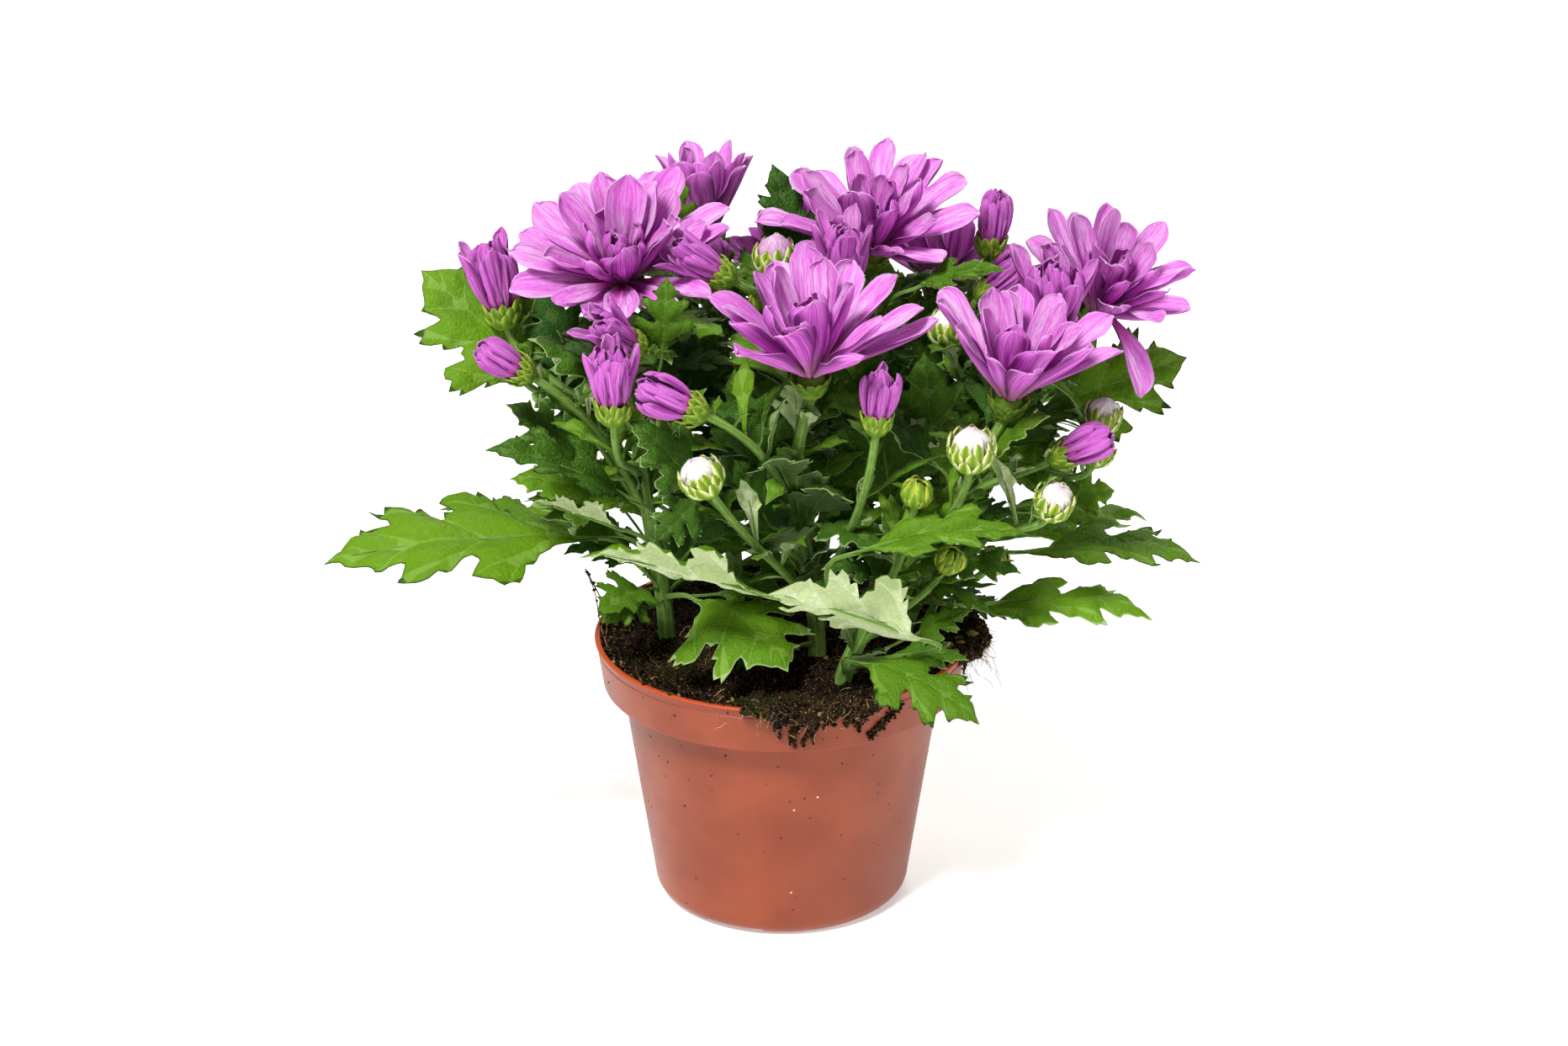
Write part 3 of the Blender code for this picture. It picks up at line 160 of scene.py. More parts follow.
# Flower heads by their names, which start with their kinds: the stem, where the side stalk leaves it, 1 for
# the top flower, the cup's foot in millimetres, the axis, the size and the openness. The size is a bloom's
# petal length in metres, and a scale for the others. The openness runs from 0, tight, to 1, wide.
KINDS = BLOOM, OPENING, PALE_BUD, GREEN_BUD = "bloom", "opening", "bud", "green_bud"
HEAD_ROWS = {
    "bloom_left": ("stem_left", 1, (-48, 0, 202), (-0.12, -0.42, 0.9), 0.036, 0.8),
    "bloom_back_left": ("stem_back_left", 1, (-24, 48, 200), (-0.04, 0, 1), 0.03, 0.1),
    "bloom_top": ("stem_back_centre", 1, (28, 22, 204), (-0.05, -0.34, 0.94), 0.036, 0.76),
    "bloom_front": ("stem_centre", 1, (9, -45, 187), (-0.02, -0.2, 0.98), 0.037, 0.48),
    "bloom_front_right": ("stem_front_right", 1, (68, -40, 178), (0.1, -0.2, 0.97), 0.035, 0.34),
    "bloom_right": ("stem_right", 1, (98, 16, 187), (0.16, -0.36, 0.92), 0.032, 0.66),
    "bloom_back_right": ("stem_back_right", 1, (52, 64, 176), (0.25, 0.5, 0.83), 0.032, 0.85),
    "bloom_back": ("stem_back_right", 0.55, (6, 82, 170), (-0.05, 0.55, 0.83), 0.031, 0.8),
    "bloom_back_far_left": ("stem_back_left", 0.6, (-58, 60, 174), (-0.35, 0.5, 0.79), 0.031, 0.85),
    "opening_right": ("stem_right", 0.7, (83, -5, 187), (0.02, -0.2, 0.98), 1.25, 0.6),
    "opening_far_left": ("stem_left", 0.62, (-86, 6, 191), (-0.2, -0.05, 0.97), 1.15, 0.55),
    "opening_left_low": ("stem_left", 0.45, (-76, -30, 187), (-0.78, -0.25, 0.58), 0.85, 0.1),
    "opening_under_bloom": ("stem_left", 0.8, (-42, -40, 199), (-0.62, -0.5, 0.6), 0.88, 0.4),
    "opening_left_front": ("stem_left", 0.52, (-50, -56, 182), (-0.02, -0.12, 0.99), 1.02, 0.4),
    "opening_front_left": ("stem_centre", 0.5, (-23, -60, 186), (-0.84, -0.25, 0.5), 0.95, 0.25),
    "opening_middle": ("stem_back_left", 0.88, (-15, -16, 213), (-0.82, -0.15, 0.56), 0.9, 0.3),
    "opening_behind_left": ("stem_back_left", 0.75, (-24, 22, 196), (0.1, -0.15, 0.99), 0.85, 0.25),
    "opening_under_top": ("stem_back_centre", 0.7, (19, -12, 204), (-0.02, -0.12, 0.99), 1.1, 0.4),
    "opening_front": ("stem_centre", 0.24, (28, -62, 181), (0.08, -0.1, 0.99), 0.88, 0.1),
    "opening_behind_top": ("stem_back_centre", 0.62, (66, 34, 204), (0.1, -0.05, 0.99), 0.95, 0.2),
    "opening_right_low": ("stem_front_right", 0.72, (82, -41, 164), (0.8, -0.2, 0.5), 0.88, 0.15),
    "opening_right_back": ("stem_right", 0.78, (62, 22, 194), (0.75, 0.1, 0.65), 0.8, 0.15),
    "opening_back_top": ("stem_back_left", 0.66, (3, 43, 203), (0.06, 0.05, 1), 0.85, 0.1),
    "opening_far_right_back": ("stem_back_right", 0.62, (88, 56, 166), (0.55, 0.3, 0.78), 0.95, 0.35),
    "opening_far_left_back": ("stem_back_left", 0.45, (-86, 38, 164), (-0.55, 0.25, 0.8), 0.9, 0.2),
    "bud_white_left": ("stem_centre", 0.27, (-21, -64, 163), (-0.45, -0.25, 0.85), 1.1, 0),
    "bud_white_centre": ("stem_front_right", 0.48, (56, -62, 170), (0.05, -0.25, 0.97), 1.2, 0),
    "bud_white_right": ("stem_front_right", 0.62, (81, -52, 151), (0.2, -0.42, 0.88), 1.05, 0),
    "bud_far_right": ("stem_right", 0.8, (98, -26, 168), (0.1, -0.15, 0.98), 0.95, 0),
    "bud_behind_right": ("stem_right", 0.55, (97, -13, 152), (0.25, -0.15, 0.95), 0.9, 0),
    "bud_behind_front_right": ("stem_right", 0.6, (52, -8, 190), (-0.1, -0.15, 0.98), 1.05, 0),
    "bud_pink_top": ("stem_back_centre", 0.66, (-2, 8, 207), (0, -0.15, 0.98), 1.15, 0),
    "bud_back": ("stem_back_right", 0.45, (34, 92, 146), (0.1, 0.5, 0.85), 0.95, 0),
    "green_bud_centre": ("stem_front_right", 0.36, (40, -59, 157), (0.1, -0.15, 0.98), 0.85, 0),
    "green_bud_left": ("stem_left", 0.6, (-38, -44, 173), (-0.15, -0.2, 0.96), 0.75, 0),
    "green_bud_top": ("stem_back_centre", 0.6, (-6, 0, 198), (-0.05, -0.1, 0.99), 0.7, 0),
    "green_bud_low": ("stem_front_right", 0.3, (50, -49, 132), (0.35, -0.35, 0.86), 0.8, 0),
    "green_bud_low_right": ("stem_right", 0.26, (64, -30, 124), (0.45, -0.35, 0.8), 0.8, 0),
}

# Leaves by their stem and name: where the petiole leaves the stalk, the blade's foot and tip in
# millimetres, the way its upper side looks, how wide it is as a share of its length, and, where they aren't
# the common ones, its arch as a share too and the fold that lifts its edges, in degrees
LEAVES = {
    "stem_left": {
        "far_left_high": (0.45, (-72, 8, 168), (-113, 18, 205), (0.25, -0.85, 0.45), 0.92, 0.05, 6),
        "far_left_low": (0.27, (-58, -10, 125.5), (-141, -35, 129), (0.05, -0.12, 0.99), 0.8, 0.04, 8),
        "left_mid_long": (0.4, (-44, -22, 142), (-89, -40, 168), (0.3, -0.3, 0.9), 0.6, 0.06, 22),
        "left_mid_blue": (0.55, (-60, -10, 148), (-84, -15, 173), (0.5, -0.6, 0.62), 0.8, 0.06, 14),
        "left_under": (0.3, (-45, 2, 132), (-86, 5, 141), (0.2, -0.45, 0.87), 0.8),
        "left_pale": (0.34, (-48, -22, 133), (-79, -30, 147), (0.15, 0.55, 0.82), 0.62, 0.02, 30),
        "left_inner": (0.7, (-30, -20, 166), (-10, -50, 180), (0.3, -0.4, 0.86), 0.7, 0.08, 10),
        "left_upright": (0.78, (-36, -36, 196), (-34, -41, 222), (0.05, -0.95, 0.3), 0.8),
        "front_low_left": (0.25, (-27, -14, 106), (2, -49, 99), (0, -0.2, 0.97), 1.2, 0.12, -6),
        "soil_left_a": (0.24, (-41, -12, 103), (-56, -28, 105), (0.05, -0.4, 0.91), 0.8, 0.08, 8),
        "soil_left_b": (0.25, (-24, -8, 104), (-4, -20, 110), (-0.05, -0.4, 0.91), 0.75, 0.08, 8),
        "inner_left": (0.5, (-34, 10, 150), (-24, 10, 190), (0, -0.93, 0.35), 0.9),
        "inner_far_left": (0.58, (-58, 10, 158), (-62, 12, 192), (0.2, -0.9, 0.4), 0.85),
        "inner_low_left": (0.3, (-30, 0, 116), (-14, 4, 142), (0, -0.85, 0.5), 0.85),
        "side_left_low": (0.28, (-58, 18, 112), (-112, 40, 116), (-0.05, 0.1, 0.99), 0.7, 0.08, 8),
    },
    "stem_centre": {
        "left_mid_broad": (0.4, (-30, -40, 156), (-52, -45, 183), (0.35, -0.7, 0.62), 0.85, 0.05, 10),
        "front_pale_left": (0.27, (-1, -54, 124), (-60, -66, 145), (0.2, 0.62, 0.75), 0.58, 0.02, 24),
        "hanging_blue": (0.36, (-24, -50, 156), (-38, -62, 146), (0.35, -0.8, 0.48), 0.9, 0.05, 6),
        "centre_left_dark": (0.6, (-8, -24, 150), (-16, -30, 186), (0.1, -0.93, 0.35), 0.85),
        "inner_front": (0.5, (-4, -34, 140), (-14, -46, 166), (0.2, -0.85, 0.45), 0.8),
    },
    "stem_front_right": {
        "front_pale_right": (0.27, (46, -60, 112), (-4, -76, 136), (0.28, 0.78, 0.52), 0.86, 0.02, 22),
        "front_low_right": (0.24, (22, -52, 102), (60, -74, 92), (0.2, -0.35, 0.92), 0.8, 0.12, -4),
        "right_low_soil": (0.25, (30, -44, 98), (56, -52, 102), (0.05, -0.3, 0.95), 0.6, 0.1, 4),
        "right_front_long": (0.3, (20, -58, 140), (74, -66, 151), (0, -0.4, 0.92), 0.5, 0.08, 20),
        "low_right_front": (0.26, (40, -38, 104), (58, -44, 116), (0, -0.6, 0.8), 0.7, 0.06, 8),
    },
    "stem_back_centre": {
        "top_dark": (0.78, (8, 30, 201), (-2, 34, 236), (0.05, -0.95, 0.3), 0.62, 0.04, 6),
        "top_right_olive": (0.76, (40, -4, 206), (68, -12, 216), (-0.1, -0.5, 0.85), 0.42, 0.1, 12),
        "centre_dark": (0.4, (35, -14, 133), (29, -20, 179), (0, -0.95, 0.3), 0.95, 0.04, 8),
        "right_upper": (0.72, (52, 10, 178), (66, 6, 196), (0.1, -0.8, 0.58), 0.6, 0.06, 10),
        "inner_low_centre": (0.28, (4, 8, 118), (-14, -4, 148), (0.2, -0.85, 0.45), 0.85),
        "inner_back_right": (0.46, (34, 32, 140), (50, 34, 178), (-0.1, -0.9, 0.4), 0.8),
        "centre_back_left": (0.42, (8, 10, 142), (-2, 2, 188), (0.05, -0.93, 0.35), 0.85),
        "centre_back_right": (0.5, (22, 10, 152), (20, 0, 194), (0, -0.93, 0.35), 0.8),
        "centre_low_back": (0.32, (26, 8, 124), (28, 0, 168), (0, -0.93, 0.35), 0.85),
    },
    "stem_right": {
        "right_low_long": (0.27, (57, -25, 109), (115, -35, 112), (-0.05, -0.08, 1), 0.62, 0.05, 6),
        "right_mid_long": (0.36, (74, -6, 119), (132, -12, 120), (-0.05, -0.02, 1), 0.7, 0.06, 10),
        "right_high": (0.55, (80, 22, 155), (130, 30, 172), (-0.25, -0.85, 0.45), 0.8, 0.04, 6),
        "right_mid_flat": (0.42, (80, 6, 130), (108, 10, 132), (-0.2, -0.8, 0.56), 0.85, 0.04, 6),
        "centre_right_dark": (0.5, (48, -10, 146), (44, -12, 188), (0, -0.95, 0.3), 0.9, 0.04, 8),
        "inner_right": (0.56, (70, 16, 152), (70, 20, 188), (0, -0.93, 0.35), 0.85),
        "inner_low_right": (0.3, (44, -8, 116), (38, -22, 150), (0, -0.9, 0.45), 0.85),
        "back_high_right": (0.6, (86, 30, 158), (118, 58, 166), (0.3, 0.5, 0.81), 0.72),
        "side_right_low": (0.28, (62, 18, 112), (120, 40, 114), (0.05, 0.1, 0.99), 0.7, 0.08, 8),
    },
    "stem_back_left": {
        "top_small": (0.9, (-30, 26, 214), (-34, 26, 234), (0.05, -0.95, 0.3), 0.6, 0.04, 6),
        "inner_back_left": (0.5, (-30, 30, 140), (-40, 28, 180), (0.1, -0.9, 0.4), 0.8),
        "back_low_left": (0.26, (-36, 44, 112), (-88, 78, 114), (-0.1, 0.3, 0.95), 0.72, 0.08, 8),
        "back_low": (0.3, (-6, 62, 116), (-12, 124, 112), (0, 0.3, 0.95), 0.72, 0.08, 8),
        "back_mid_left": (0.42, (-48, 58, 134), (-92, 96, 148), (-0.4, 0.5, 0.77), 0.78),
        "back_high_left": (0.62, (-38, 64, 148), (-56, 104, 160), (-0.2, 0.7, 0.68), 0.72),
    },
    "stem_back_right": {
        "back_low_right": (0.26, (46, 56, 112), (92, 96, 112), (0.1, 0.3, 0.95), 0.72, 0.08, 8),
        "back_mid": (0.4, (20, 72, 132), (18, 122, 146), (0, 0.6, 0.8), 0.78),
        "back_mid_right": (0.44, (66, 58, 134), (112, 82, 150), (0.4, 0.45, 0.8), 0.78),
        "back_high": (0.62, (26, 78, 150), (-10, 112, 160), (0, 0.75, 0.66), 0.7),
    },
}

# Dark leaves that fill the shade between the stems, their darkness painted shade: where they leave the
# stalk, and their foot and tip in millimetres
SHADE_LEAVES = {
    "stem_left": (
        (0.5, (-58, 16, 158), (-82, 18, 186)), (0.42, (-52, 18, 142), (-74, 20, 166)),
        (0.36, (-56, 12, 126), (-78, 14, 146)), (0.4, (-46, 14, 120), (-60, 18, 152)),
        (0.62, (-62, 10, 168), (-76, 14, 200)), (0.3, (-34, 12, 104), (-24, 18, 134)),
    ),
    "stem_back_centre": (
        (0.36, (32, 26, 128), (48, 22, 162)), (0.6, (34, 20, 164), (52, 18, 196)),
        (0.3, (10, 18, 110), (-6, 14, 136)), (0.44, (16, 34, 120), (6, 36, 162)),
        (0.24, (13, 34, 96), (18, 38, 134)), (0.54, (24, 44, 132), (4, 46, 156)),
        (0.18, (6, 36, 90), (-12, 50, 102)),
    ),
    "stem_right": (
        (0.44, (64, 14, 136), (86, 16, 160)), (0.6, (76, 20, 160), (66, 24, 190)),
        (0.34, (52, 16, 110), (48, 20, 144)), (0.5, (66, 18, 142), (84, 22, 166)),
    ),
    "stem_back_left": (
        (0.4, (-26, 26, 124), (-40, 20, 156)), (0.66, (-26, 30, 160), (-38, 26, 192)),
        (0.26, (-12, 36, 104), (-4, 40, 134)), (0.44, (-30, 34, 128), (-52, 36, 156)),
        (0.3, (-4, 50, 110), (12, 54, 144)), (0.18, (-22, 40, 90), (-48, 46, 100)),
    ),
    "stem_back_right": (
        (0.24, (36, 44, 96), (30, 44, 138)), (0.28, (22, 54, 104), (12, 58, 140)),
        (0.4, (28, 50, 124), (20, 54, 160)), (0.18, (38, 40, 90), (20, 54, 102)),
    ),
}

# Petals in their layers, from the outside in. Angles are in degrees, and rise is what a layer adds to that
# of the outermost one. In a bloom, length and width are shares of the bloom's petal length. depth is 0 for
# the palest petals and 1 for the darkest, deepest in the head; the darkening is partly the petals' own
# colour and partly painted shade. Buds and bracts have one tone for all.
LAYER_FIELDS = "count rise curl length width root_radius root_height roll hook depth"
Layer = namedtuple("Layer", LAYER_FIELDS, defaults=(1.1, 0, 0))
BLOOM_LAYERS = (
    Layer(8, 0, 0, 1.00, 0.285, 0.0034, 0.0076, 1.1, -10, 0.00),
    Layer(8, 9, 2, 0.96, 0.28, 0.0033, 0.0084, 1.1, -4, 0.08),
    Layer(7, 20, 8, 0.84, 0.27, 0.0031, 0.0092, 1.2, 10, 0.22),
    Layer(7, 32, 20, 0.64, 0.24, 0.0028, 0.0100, 1.4, 25, 0.42),
    Layer(7, 44, 36, 0.46, 0.20, 0.0024, 0.0106, 1.7, 30, 0.70),
    Layer(11, 56, 30, 0.29, 0.12, 0.0016, 0.0110, 2.2, 30, 1.00),
)
# Single petals of a bloom that stand up or hang down: azimuth, rise, curl, length and width
LONE_PETALS = {
    "bloom_right": ((110, 86, 4, 1.30, 0.27), (-60, -34, -12, 0.95, 0.29)),
    "bloom_front": ((-95, 62, 0, 0.80, 0.34), (-170, 40, 4, 1.05, 0.26), (0, 22, 8, 1.08, 0.24)),
    "bloom_front_right": ((-100, 66, 0, 0.84, 0.36), (-20, 30, 6, 1.05, 0.26)),
    "bloom_left": ((80, 74, 0, 1.06, 0.36), (55, 70, 4, 1.00, 0.34), (20, 34, 0, 1.10, 0.27)),
}
# Petals of a half-open head and of a pale bud, in metres
OPENING_LAYERS = (
    Layer(9, 66, 40, 0.0186, 0.0056, 0.0034, 0.0048, 1.8, 22, 0.45),
    Layer(8, 73, 34, 0.0192, 0.0050, 0.0028, 0.0056, 1.9, 25, 0.60),
    Layer(5, 80, 26, 0.0180, 0.0046, 0.0014, 0.0064, 2.0, 30, 0.80),
)
LOOSE_LAYER = Layer(5, 78, 10, 0.0205, 0.0060, 0.0034, 0.0066, 1.7, -4, 0.30)
PALE_LAYERS = (
    Layer(9, 33, 142, 0.0112, 0.0046, 0.0026, 0.0026, 1.2),
    Layer(8, 40, 132, 0.0108, 0.0040, 0.0020, 0.0034, 1.2),
)
# Bracts of the green cups, in the same way, in metres
BLOOM_BRACTS = (
    Layer(10, 6, 84, 0.0086, 0.0038, 0.0012, -0.0004),
    Layer(11, 12, 74, 0.0092, 0.0040, 0.0016, 0.0006),
    Layer(12, 18, 64, 0.0092, 0.0040, 0.0020, 0.0016),
)
BUD_BRACTS = (
    Layer(9, 4, 96, 0.0092, 0.0036, 0.0012, -0.0004),
    Layer(9, 10, 100, 0.0102, 0.0038, 0.0014, 0.0004),
    Layer(9, 12, 112, 0.0112, 0.0038, 0.0014, 0.0008),
)
OPENING_BRACTS = (
    Layer(9, 4, 92, 0.0084, 0.0037, 0.0012, -0.0004),
    Layer(10, 10, 92, 0.0096, 0.0037, 0.0013, 0.0006),
    Layer(10, 16, 88, 0.0102, 0.0037, 0.0015, 0.0016),
)
GREEN_BRACTS = (
    Layer(8, 2, 120, 0.0104, 0.0040, 0.0012, -0.0008),
    Layer(8, 6, 142, 0.0124, 0.0040, 0.0014, 0.0000),
    Layer(7, 8, 160, 0.0134, 0.0038, 0.0014, 0.0006),
)
# The cup of each kind of head: its bracts, its scale, its body's radius and top, and how dark it is
CUPS = {
    BLOOM: (BLOOM_BRACTS, 0.86, 0.0054, 0.0084, 1.0),
    OPENING: (OPENING_BRACTS, 0.88, 0.0048, 0.0072, 0.65),
    PALE_BUD: (BUD_BRACTS, 1.0, 0.0042, 0.0070, 0.05),
    GREEN_BUD: (GREEN_BRACTS, 1.0, 0.0040, 0.0080, 0.3),
}
CUP_FOOT = -0.0010
# The round body inside the petals: its radius, foot, top and sides, and what its look reads
CORES = {
    BLOOM: (0.0034, 0.0066, 0.0150, 16, (1, 0, 0)),
    OPENING: (0.0042, 0.0050, 0.0150, 16, (1, 0, 0)),
    PALE_BUD: (0.0042, 0.0030, 0.0100, 20, (0, 1, 0)),
}
CORE_BLOOM_SIZE = 0.036
# Leaves beyond those of the plain solids: the petiole as a share of the blade, the blade's length, its
# width as a share, how steeply it rises in degrees, and its tone, which darkens the leaf partly as
# painted shade
Sprig = namedtuple("Sprig", "petiole length wide lift tone")
SMALL_LEAF = Sprig(0.30, (0.018, 0.038), 0.8, (5, 75), 0.85)
SLIM_LEAF = Sprig(0.10, (0.012, 0.030), 0.8, (25, 85), 0.4)
CUP_LEAF = Sprig(0.06, (0.006, 0.013), 0.9, (45, 80), 0.5)
SMALL_LEAF_SPANS = ((0.20, 0.45), (0.45, 0.70), (0.68, 0.92))
SMALL_LEAF_COUNT = 24
SLIM_PLACES = range(2, 15, 2)
CUP_PLACES = (14, 16, 17, 18)
SHADE_LEAF_SHAPE = ((0.1, -0.9, 0.42), 0.9)
# The dark tone of the leaves in the shade, which is painted shade
SHADE_TONE = 0.95

# One side of a leaf's outline: along the midrib, out from it, and 1 for a tooth's point
LEAF_OUTLINE = (
    (0.00, 0.020, 0), (0.05, 0.024, 0), (0.10, 0.035, 0), (0.17, 0.075, 0), (0.20, 0.140, 0),
    (0.25, 0.185, 0), (0.285, 0.265, 1), (0.31, 0.250, 0), (0.33, 0.330, 0), (0.360, 0.405, 1),
    (0.385, 0.395, 0), (0.42, 0.435, 1), (0.455, 0.395, 0), (0.485, 0.405, 0), (0.525, 0.345, 1),
    (0.48, 0.240, 0), (0.455, 0.150, 0), (0.46, 0.120, 0), (0.49, 0.125, 0), (0.55, 0.200, 0),
    (0.60, 0.270, 1),
    (0.63, 0.255, 0), (0.67, 0.310, 0), (0.725, 0.340, 1), (0.74, 0.315, 0), (0.785, 0.325, 1),
    (0.76, 0.250, 0), (0.735, 0.160, 0), (0.73, 0.110, 0), (0.76, 0.115, 0), (0.80, 0.160, 0),
    (0.84, 0.190, 1), (0.85, 0.150, 0), (0.885, 0.120, 0), (0.93, 0.070, 1), (0.95, 0.040, 0),
)
LEAF_VEINS = (
    ((0.14, 0.00), (0.24, 0.12), (0.33, 0.26), (0.40, 0.40)),
    ((0.19, 0.07), (0.23, 0.16), (0.275, 0.245)),
    ((0.27, 0.16), (0.40, 0.27), (0.50, 0.335)),
    ((0.40, 0.00), (0.51, 0.11), (0.63, 0.22), (0.75, 0.32)),
    ((0.50, 0.10), (0.55, 0.18), (0.59, 0.255)),
    ((0.61, 0.20), (0.70, 0.24), (0.765, 0.26)),
    ((0.66, 0.00), (0.75, 0.08), (0.83, 0.165)),
    ((0.82, 0.00), (0.88, 0.045), (0.92, 0.065)),
)
# The narrow leaves below the flowers, with a tooth or none
SLIM_OUTLINE = (
    (0.00, 0.035, 0), (0.12, 0.050, 0), (0.30, 0.085, 0), (0.44, 0.120, 0), (0.50, 0.190, 1),
    (0.54, 0.130, 0), (0.66, 0.125, 0), (0.80, 0.100, 0), (0.92, 0.050, 0),
)
SLIM_VEINS = (((0.25, 0.0), (0.40, 0.07), (0.49, 0.15)), ((0.50, 0.0), (0.65, 0.06), (0.78, 0.08)))

# Soil heaped over the rim: stations of (azimuth in degrees, how far it hangs down, how far it stands out)
SPILLS = (
    (
        (-101, 0.003, 0.002), (-91, 0.009, 0.005), (-82, 0.011, 0.006),
        (-74, 0.006, 0.004), (-65, 0.009, 0.005), (-56, 0.003, 0.002),
    ),
    ((-20, 0.003, 0.002), (-10, 0.008, 0.008), (-1, 0.010, 0.009), (11, 0.003, 0.003)),
)
SPILL_WILDNESS = (1.0, 1.7)

# Two wiry roots that stand up at the rim's left, in millimetres
LEFT_ROOTS = (
    ((-54.5, -14, 87), (-57.5, -12, 97), (-59, -11, 107), (-62, -10, 115)),
    ((-62, -10, 115), (-58.5, -9, 107), (-55.5, -9, 100), (-56, -11, 90)),
)


def metres(place):
    """A place that is given in millimetres."""
    return Vector([value / 1000 for value in place])


Head = namedtuple("Head", "kind stem share foot axis size openness")


def read_heads():
    """Every flower head by its name, in metres."""
    found = {}
    for name, (stem, share, foot, axis, size, openness) in HEAD_ROWS.items():
        kind = next(kind for kind in KINDS if name.startswith(kind))
        found[name] = Head(kind, stem, share, metres(foot), Vector(axis), size, openness)
    return found


HEADS = read_heads()


def curve_point(points, share):
    """A point on the smooth curve through the points, at a share of its course."""
    spans = len(points) - 1
    place = min(max(share, 0.0), 1.0) * spans
    i = min(int(place), spans - 1)
    t = place - i
    p1, p2 = Vector(points[i]), Vector(points[i + 1])
    p0 = Vector(points[i - 1]) if i > 0 else 2 * p1 - p2
    p3 = Vector(points[i + 2]) if i + 2 < len(points) else 2 * p2 - p1
    slope, bow, twist = p2 - p0, 2 * p0 - 5 * p1 + 4 * p2 - p3, 3 * p1 - p0 - 3 * p2 + p3
    return 0.5 * (2 * p1 + slope * t + bow * t**2 + twist * t**3)


def eased_path(start, start_way, end, end_way, count):
    """Points of a curve that leaves start along start_way and reaches end along end_way."""
    reach = (end - start).length
    a, b = start_way.normalized() * reach, end_way.normalized() * reach
    found = []
    for i in range(count):
        t = i / (count - 1)
        from_start = start * (2 * t**3 - 3 * t * t + 1) + a * (t**3 - 2 * t * t + t)
        found.append(from_start + end * (3 * t * t - 2 * t**3) + b * (t**3 - t * t))
    return found


def sides_of(way, hint):
    """Two directions square to way: to its right, and as near to hint as it goes."""
    up = (hint - way * hint.dot(way)).normalized()
    return way.cross(up).normalized(), up


def stalk_course(stem):
    """The main stalk's course to the cup of its top flower, as a function of the share."""
    top = next(head.foot for head in HEADS.values() if head.stem == stem and head.share == 1)
    points = [metres(place) for place in STEMS[stem]] + [top]
    return lambda share: curve_point(points, share)


def head_place(head):
    """The matrix that stands a flower head on its foot, along its axis."""
    turned = head.axis.to_track_quat("Z", "Y").to_matrix().to_4x4()
    return Matrix.Translation(head.foot) @ turned


def moved(points, place):
    """Points under a 4 by 4 matrix."""
    matrix = np.array(place)
    return points @ matrix[:3, :3].T + matrix[:3, 3]


def faded(value, low, high):
    """0 below low, 1 above high, and smooth between them."""
    t = np.clip((value - low) / (high - low), 0, 1)
    return t * t * (3 - 2 * t)


class Skin:
    """What one mesh is gathered from: points, faces, and what its look reads at each point."""

    def __init__(self):
        self.points, self.faces, self.slots, self.grain, self.facts = [], [], [], [], []
        self.count = 0

    def add(self, points, faces, grain, facts, slot=0):
        """grain and facts are rows of three numbers, one row for all points or one for each."""
        size = len(points)
        self.points.append(points)
        self.grain.append(np.broadcast_to(grain, (size, 3)))
        self.facts.append(np.broadcast_to(facts, (size, 3)))
        for group in faces:
            self.faces += (np.asarray(group) + self.count).tolist()
            self.slots += [slot] * len(group)
        self.count += size


def make_piece(name, skin, looks, nodes, sharp=60):
    """The piece that stands for the nodes in the finished part."""
    mesh = bpy.data.meshes.new(name)
    mesh.from_pydata(np.concatenate(skin.points).tolist(), [], skin.faces)
    for title, rows in (("grain", skin.grain), ("facts", skin.facts)):
        attribute = mesh.attributes.new(title, "FLOAT_VECTOR", "POINT")
        attribute.data.foreach_set("vector", np.concatenate(rows).astype(np.float32).ravel())
    for look in looks:
        mesh.materials.append(look)
    mesh.polygons.foreach_set("material_index", skin.slots)
    mesh.shade_smooth()
    mesh.set_sharp_from_angle(angle=math.radians(sharp))
    piece = bpy.data.objects.new(name, mesh)
    bpy.context.scene.collection.objects.link(piece)
    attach(piece, "root")
    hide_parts(*nodes)
    return piece


